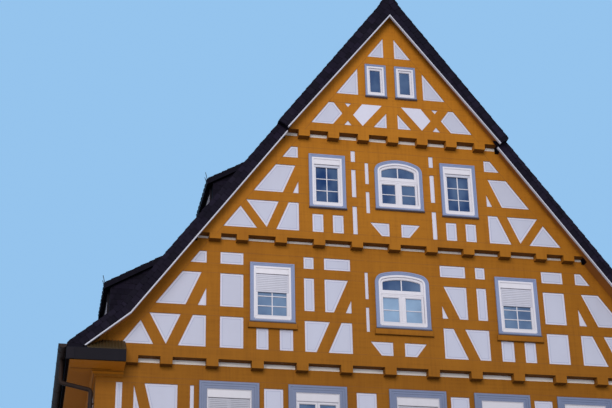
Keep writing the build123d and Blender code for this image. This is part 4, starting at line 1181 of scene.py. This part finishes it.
pipes = Pieces()
hook_wall = upright((0, PIPE_Y, 0), (1, 0, 0), (0, -1, 0))
for s in (-1, 1):
    wall_x = s * (SIDE + PIPE_OFF)
    neck = rounded([(s * GUTTER_X, GUTTER_Z - GUTTER_R + 0.02), (s * GUTTER_X, WALL_TOP - 0.385),
                    (wall_x, WALL_TOP - 0.51), (wall_x, 0.16), (wall_x + s * 0.16, 0.06)], BEND_R)
    pipes.add(WORLD, *pipe(neck, PIPE_R))
    for z in HOOKS:
        pipes.add(WORLD, *pipe(np.array([(wall_x, z + 0.035), (wall_x, z)]), PIPE_R + 0.005))
        bar(pipes, hook_wall, s * SIDE, z + 0.008, wall_x, z + 0.028, -0.008, 0.008, 0.001)
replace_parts(pipes.mesh("rain_pipes", GUTTER, "gutter"), "downpipes")

# %% [markdown]
# ## Ridge and rods
#
# Saddle slates cover the ridge on both sides. Each laps over the next, so every second one stands a
# little higher. Thin rods stand at the dormers' corners; a tube of six sides is round enough there.

# %% Ridge and rods
ROD_R, ROD_SIDES, RODS = 0.007, 6, ((0.05, 0.22), (0.16, 0.15))
ridge_slates, rods = Pieces(), Pieces()
turn = np.linspace(0, 2 * math.pi, ROD_SIDES, endpoint=False)
circle = np.column_stack([ROD_R * np.cos(turn), ROD_R * np.sin(turn), np.zeros(ROD_SIDES)])
for s in (-1, 1):
    main = slope(s, PITCH, KINK, slate_height(KINK))
    for k, y in enumerate(np.arange(VERGE[1] - 0.04, BACK_VERGE, 0.30)):
        lift = 0.006 * (k % 2)
        y1 = min(y + 0.36, BACK_VERGE + 0.04)
        cover = box_outline(y, SLOPE_LENGTH - 0.31, y1, SLOPE_LENGTH + 0.012)
        sweep(ridge_slates, main, cover, [(0, 0.004), (0, 0.026 + lift), (0.003, 0.030 + lift)], True,
              float(rng.uniform()))
    for tip_z, tip in DORMERS:
        for y, height in ((y + off, height) for y in DORMER_Y for off, height in RODS):
            foot = circle + (s * (tip - 0.03), y, tip_z)
            rods.add(WORLD, np.vstack([foot, foot + (s * 0.05, 0, height)]),
                     ring_faces(2, ROD_SIDES) + [list(range(ROD_SIDES, 2 * ROD_SIDES))])
ridge_slates.mesh("ridge_slates", SLATE, "slate")
rods.mesh("dormer_rods", GUTTER, "gutter")

# %% [markdown]
# ## Ground floor
#
# The lowest storey is masonry on a plinth of two courses. Cut blocks are never quite flush, so each
# stone is a plate of its own with a slightly different depth and tone. A block that would run across
# the door is cut back to the door's edge.

# %% Plinth and stone surrounds
PLINTH_SIDES = [(front_plane(), SIDE, [(DOOR_X - 0.85, DOOR_X + 0.85)]), (BACK_WALL, SIDE, []),
                (LEFT_WALL, -FRONT, []), (RIGHT_WALL, -FRONT, [])]
PLINTH_ROWS, BLOCK = ((0.0, 0.34), (0.35, 0.66)), 0.62
SURROUND = [(-0.13, 0.0), (-0.13, 0.018), (-0.122, 0.024), (-0.01, 0.024), (0, 0.016), (0, -0.07)]


def block_spans(half, row, breaks):
    """Ends of the blocks in a course, shifted by half a block in the upper row and cut at openings."""
    cuts = np.arange(-half + BLOCK / 2 * (row % 2), half - 0.2, BLOCK)
    cuts = np.concatenate([[-half], cuts[cuts > -half + 0.2], [half]])
    for u0, u1 in zip(cuts, cuts[1:]):
        for near, far in breaks:
            if u0 < far and u1 > near:
                u0, u1 = (u0, min(u1, near)) if u0 < near else (max(u0, far), u1)
        if u1 - u0 > 0.05:
            yield u0 + 0.004, u1 - 0.004


stones, surrounds = Pieces(), Pieces()
for wall, half, breaks in PLINTH_SIDES:
    for row, (low, high) in enumerate(PLINTH_ROWS):
        for u0, u1 in block_spans(half, row, breaks):
            thick = 0.028 + rng.uniform(0, 0.004)
            plate(stones, wall, box_outline(u0, low, u1, high), 0.0, thick, 0.008, float(rng.uniform()))
for wall, u in ground_places:
    opening = box_outline(u - WINDOW_W / 2, GROUND_SILL, u + WINDOW_W / 2, GROUND_SILL + GROUND_H)
    sweep(surrounds, wall, opening, SURROUND)
stones.mesh("plinth_stones", PLINTH, "render")
surrounds.mesh("stone_surrounds", PLINTH, "render")

# %% [markdown]
# The door has two rows of three raised panels and a cover strip between its leaves. The knob is
# turned: its outline, given as radius and height, is carried round a circle like work on a lathe.

# %% Door
PANEL_ROWS = ((0.16, 0.72), (0.84, 1.34), (1.46, 2.30))
PANEL_PROFILE = [(0, 0.0), (0, 0.016), (0.018, 0.020), (0.03, 0.006), (0.07, 0.004), (0.11, 0.018)]
KNOB = np.array([(0.030, 0.0), (0.030, 0.006), (0.012, 0.010), (0.012, 0.040), (0.028, 0.052),
                 (0.030, 0.066), (0.018, 0.078)])
KNOB_SIDES = 20
panels, knob = Pieces(), Pieces()
leaf_wall = front_plane(-0.110)
for near, far in ((-0.50, -0.06), (0.06, 0.50)):
    for v0, v1 in PANEL_ROWS:
        sweep(panels, leaf_wall, box_outline(DOOR_X + near, v0, DOOR_X + far, v1), PANEL_PROFILE, True)
bar(panels, leaf_wall, DOOR_X - 0.012, 0.02, DOOR_X + 0.012, 2.43, 0.0, 0.024)
turn = np.linspace(0, 2 * math.pi, KNOB_SIDES, endpoint=False)
radius, height = KNOB.T[:, :, None]
turned = np.stack([DOOR_X - 0.07 + radius * np.cos(turn), 1.05 + radius * np.sin(turn),
                   np.broadcast_to(height, (len(KNOB), KNOB_SIDES))], -1).reshape(-1, 3)
knob_end = list(range(len(turned) - KNOB_SIDES, len(turned)))
knob.add(leaf_wall, turned, ring_faces(len(KNOB), KNOB_SIDES) + [knob_end])
panels.mesh("door_panels", DOOR, "door")
knob.mesh("door_knob", BRASS, "door", True)

# %% [markdown]
# ## Camera, light and floor
#
# The camera stands at eye height to the left of the axis and looks up, so the uprights converge.
# Its place and its three angles could be found by eye; they were fitted to corners of the gable, so
# that the view can be laid over a photograph. The matrix is built from the angles.

# %% Camera
EYE = (-7.212, -31.603, 1.6)
TILT, ROLL, HEADING = math.radians(25.874), math.radians(-1.176), math.radians(11.681)
heading = np.array((math.sin(HEADING), math.cos(HEADING), 0.0))
level = np.array((math.cos(HEADING), -math.sin(HEADING), 0.0))
up = np.array((0.0, 0.0, 1.0))
look = heading * math.cos(TILT) + up * math.sin(TILT)
crown = up * math.cos(TILT) - heading * math.sin(TILT)
axis_x = level * math.cos(ROLL) + crown * math.sin(ROLL)
axis_y = crown * math.cos(ROLL) - level * math.sin(ROLL)
lens = bpy.data.cameras.new("camera")
lens.sensor_width = 36.0
lens.lens = 83.26
lens.clip_end = 500.0
camera = bpy.data.objects.new("camera", lens)
camera.matrix_world = Matrix((*zip(axis_x, axis_y, -look, EYE), (0, 0, 0, 1)))
bpy.context.scene.collection.objects.link(camera)
bpy.context.scene.camera = camera
print("camera at", EYE, "lens", lens.lens)

# %% [markdown]
# The sky is seen and mirrored as a clear blue, but it lights the house with a paler, weaker tone. A
# light path node tells the two uses apart. One large lamp stands for the hazy sun, two more fill.

# %% Sky
world = bpy.data.worlds.new("studio")
world.use_nodes = True
sky = world.node_tree
backdrop = put(sky, "ShaderNodeBackground", Color=(0.30, 0.55, 0.85, 1), Strength=1.0)
fill = put(sky, "ShaderNodeBackground", Color=(0.84, 0.90, 1.0, 1), Strength=0.5)
rays = put(sky, "ShaderNodeLightPath").outputs
mirrored = maths(sky, "MAXIMUM", rays["Is Glossy Ray"], rays["Is Transmission Ray"])
seen = maths(sky, "MAXIMUM", rays["Is Camera Ray"], mirrored)
choice = put(sky, "ShaderNodeMixShader", i0=seen, i1=fill.outputs[0], i2=backdrop.outputs[0])
sky.links.new(choice.outputs[0], sky.nodes["World Output"].inputs["Surface"])
bpy.context.scene.world = world
bpy.context.scene.view_settings.view_transform = "Standard"
print("sky", len(sky.nodes), "nodes")

# %% Lamps
def lamp(name, place, target, size, power, color):
    """Soft square light aimed at a point."""
    data = bpy.data.lights.new(name, "AREA")
    data.size = size
    data.energy = power
    data.color = color
    obj = bpy.data.objects.new(name, data)
    obj.location = place
    obj.rotation_euler = (Vector(target) - Vector(place)).to_track_quat("-Z", "Y").to_euler()
    bpy.context.scene.collection.objects.link(obj)
    print("lamp", name, power, "watts")


lamp("key", (-15, -52, 26), (0, 0, 13), 24, 16500, (1.0, 0.96, 0.91))
lamp("side", (34, -14, 30), (0, 0, 10), 20, 4500, (0.93, 0.96, 1.0))
lamp("rear", (6, 40, 40), (0, 0, 10), 24, 8000, (0.95, 0.97, 1.0))

# %% Floor
FLOOR = plain("floor", (0.55, 0.55, 0.56), (0.47, 0.47, 0.48), 0.3, 0.3, 0.9)
FLOOR_HALF, FLOOR_Z = 90, -0.002
square = box_outline(-FLOOR_HALF, -FLOOR_HALF, FLOOR_HALF, FLOOR_HALF)
floor_mesh = bpy.data.meshes.new("floor")
floor_mesh.from_pydata([(x, y, FLOOR_Z) for x, y in square], [], [(0, 1, 2, 3)])
floor_mesh.materials.append(FLOOR)
floor = bpy.data.objects.new("floor", floor_mesh)
bpy.context.scene.collection.objects.link(floor)
print("floor", 2 * FLOOR_HALF, "m wide")
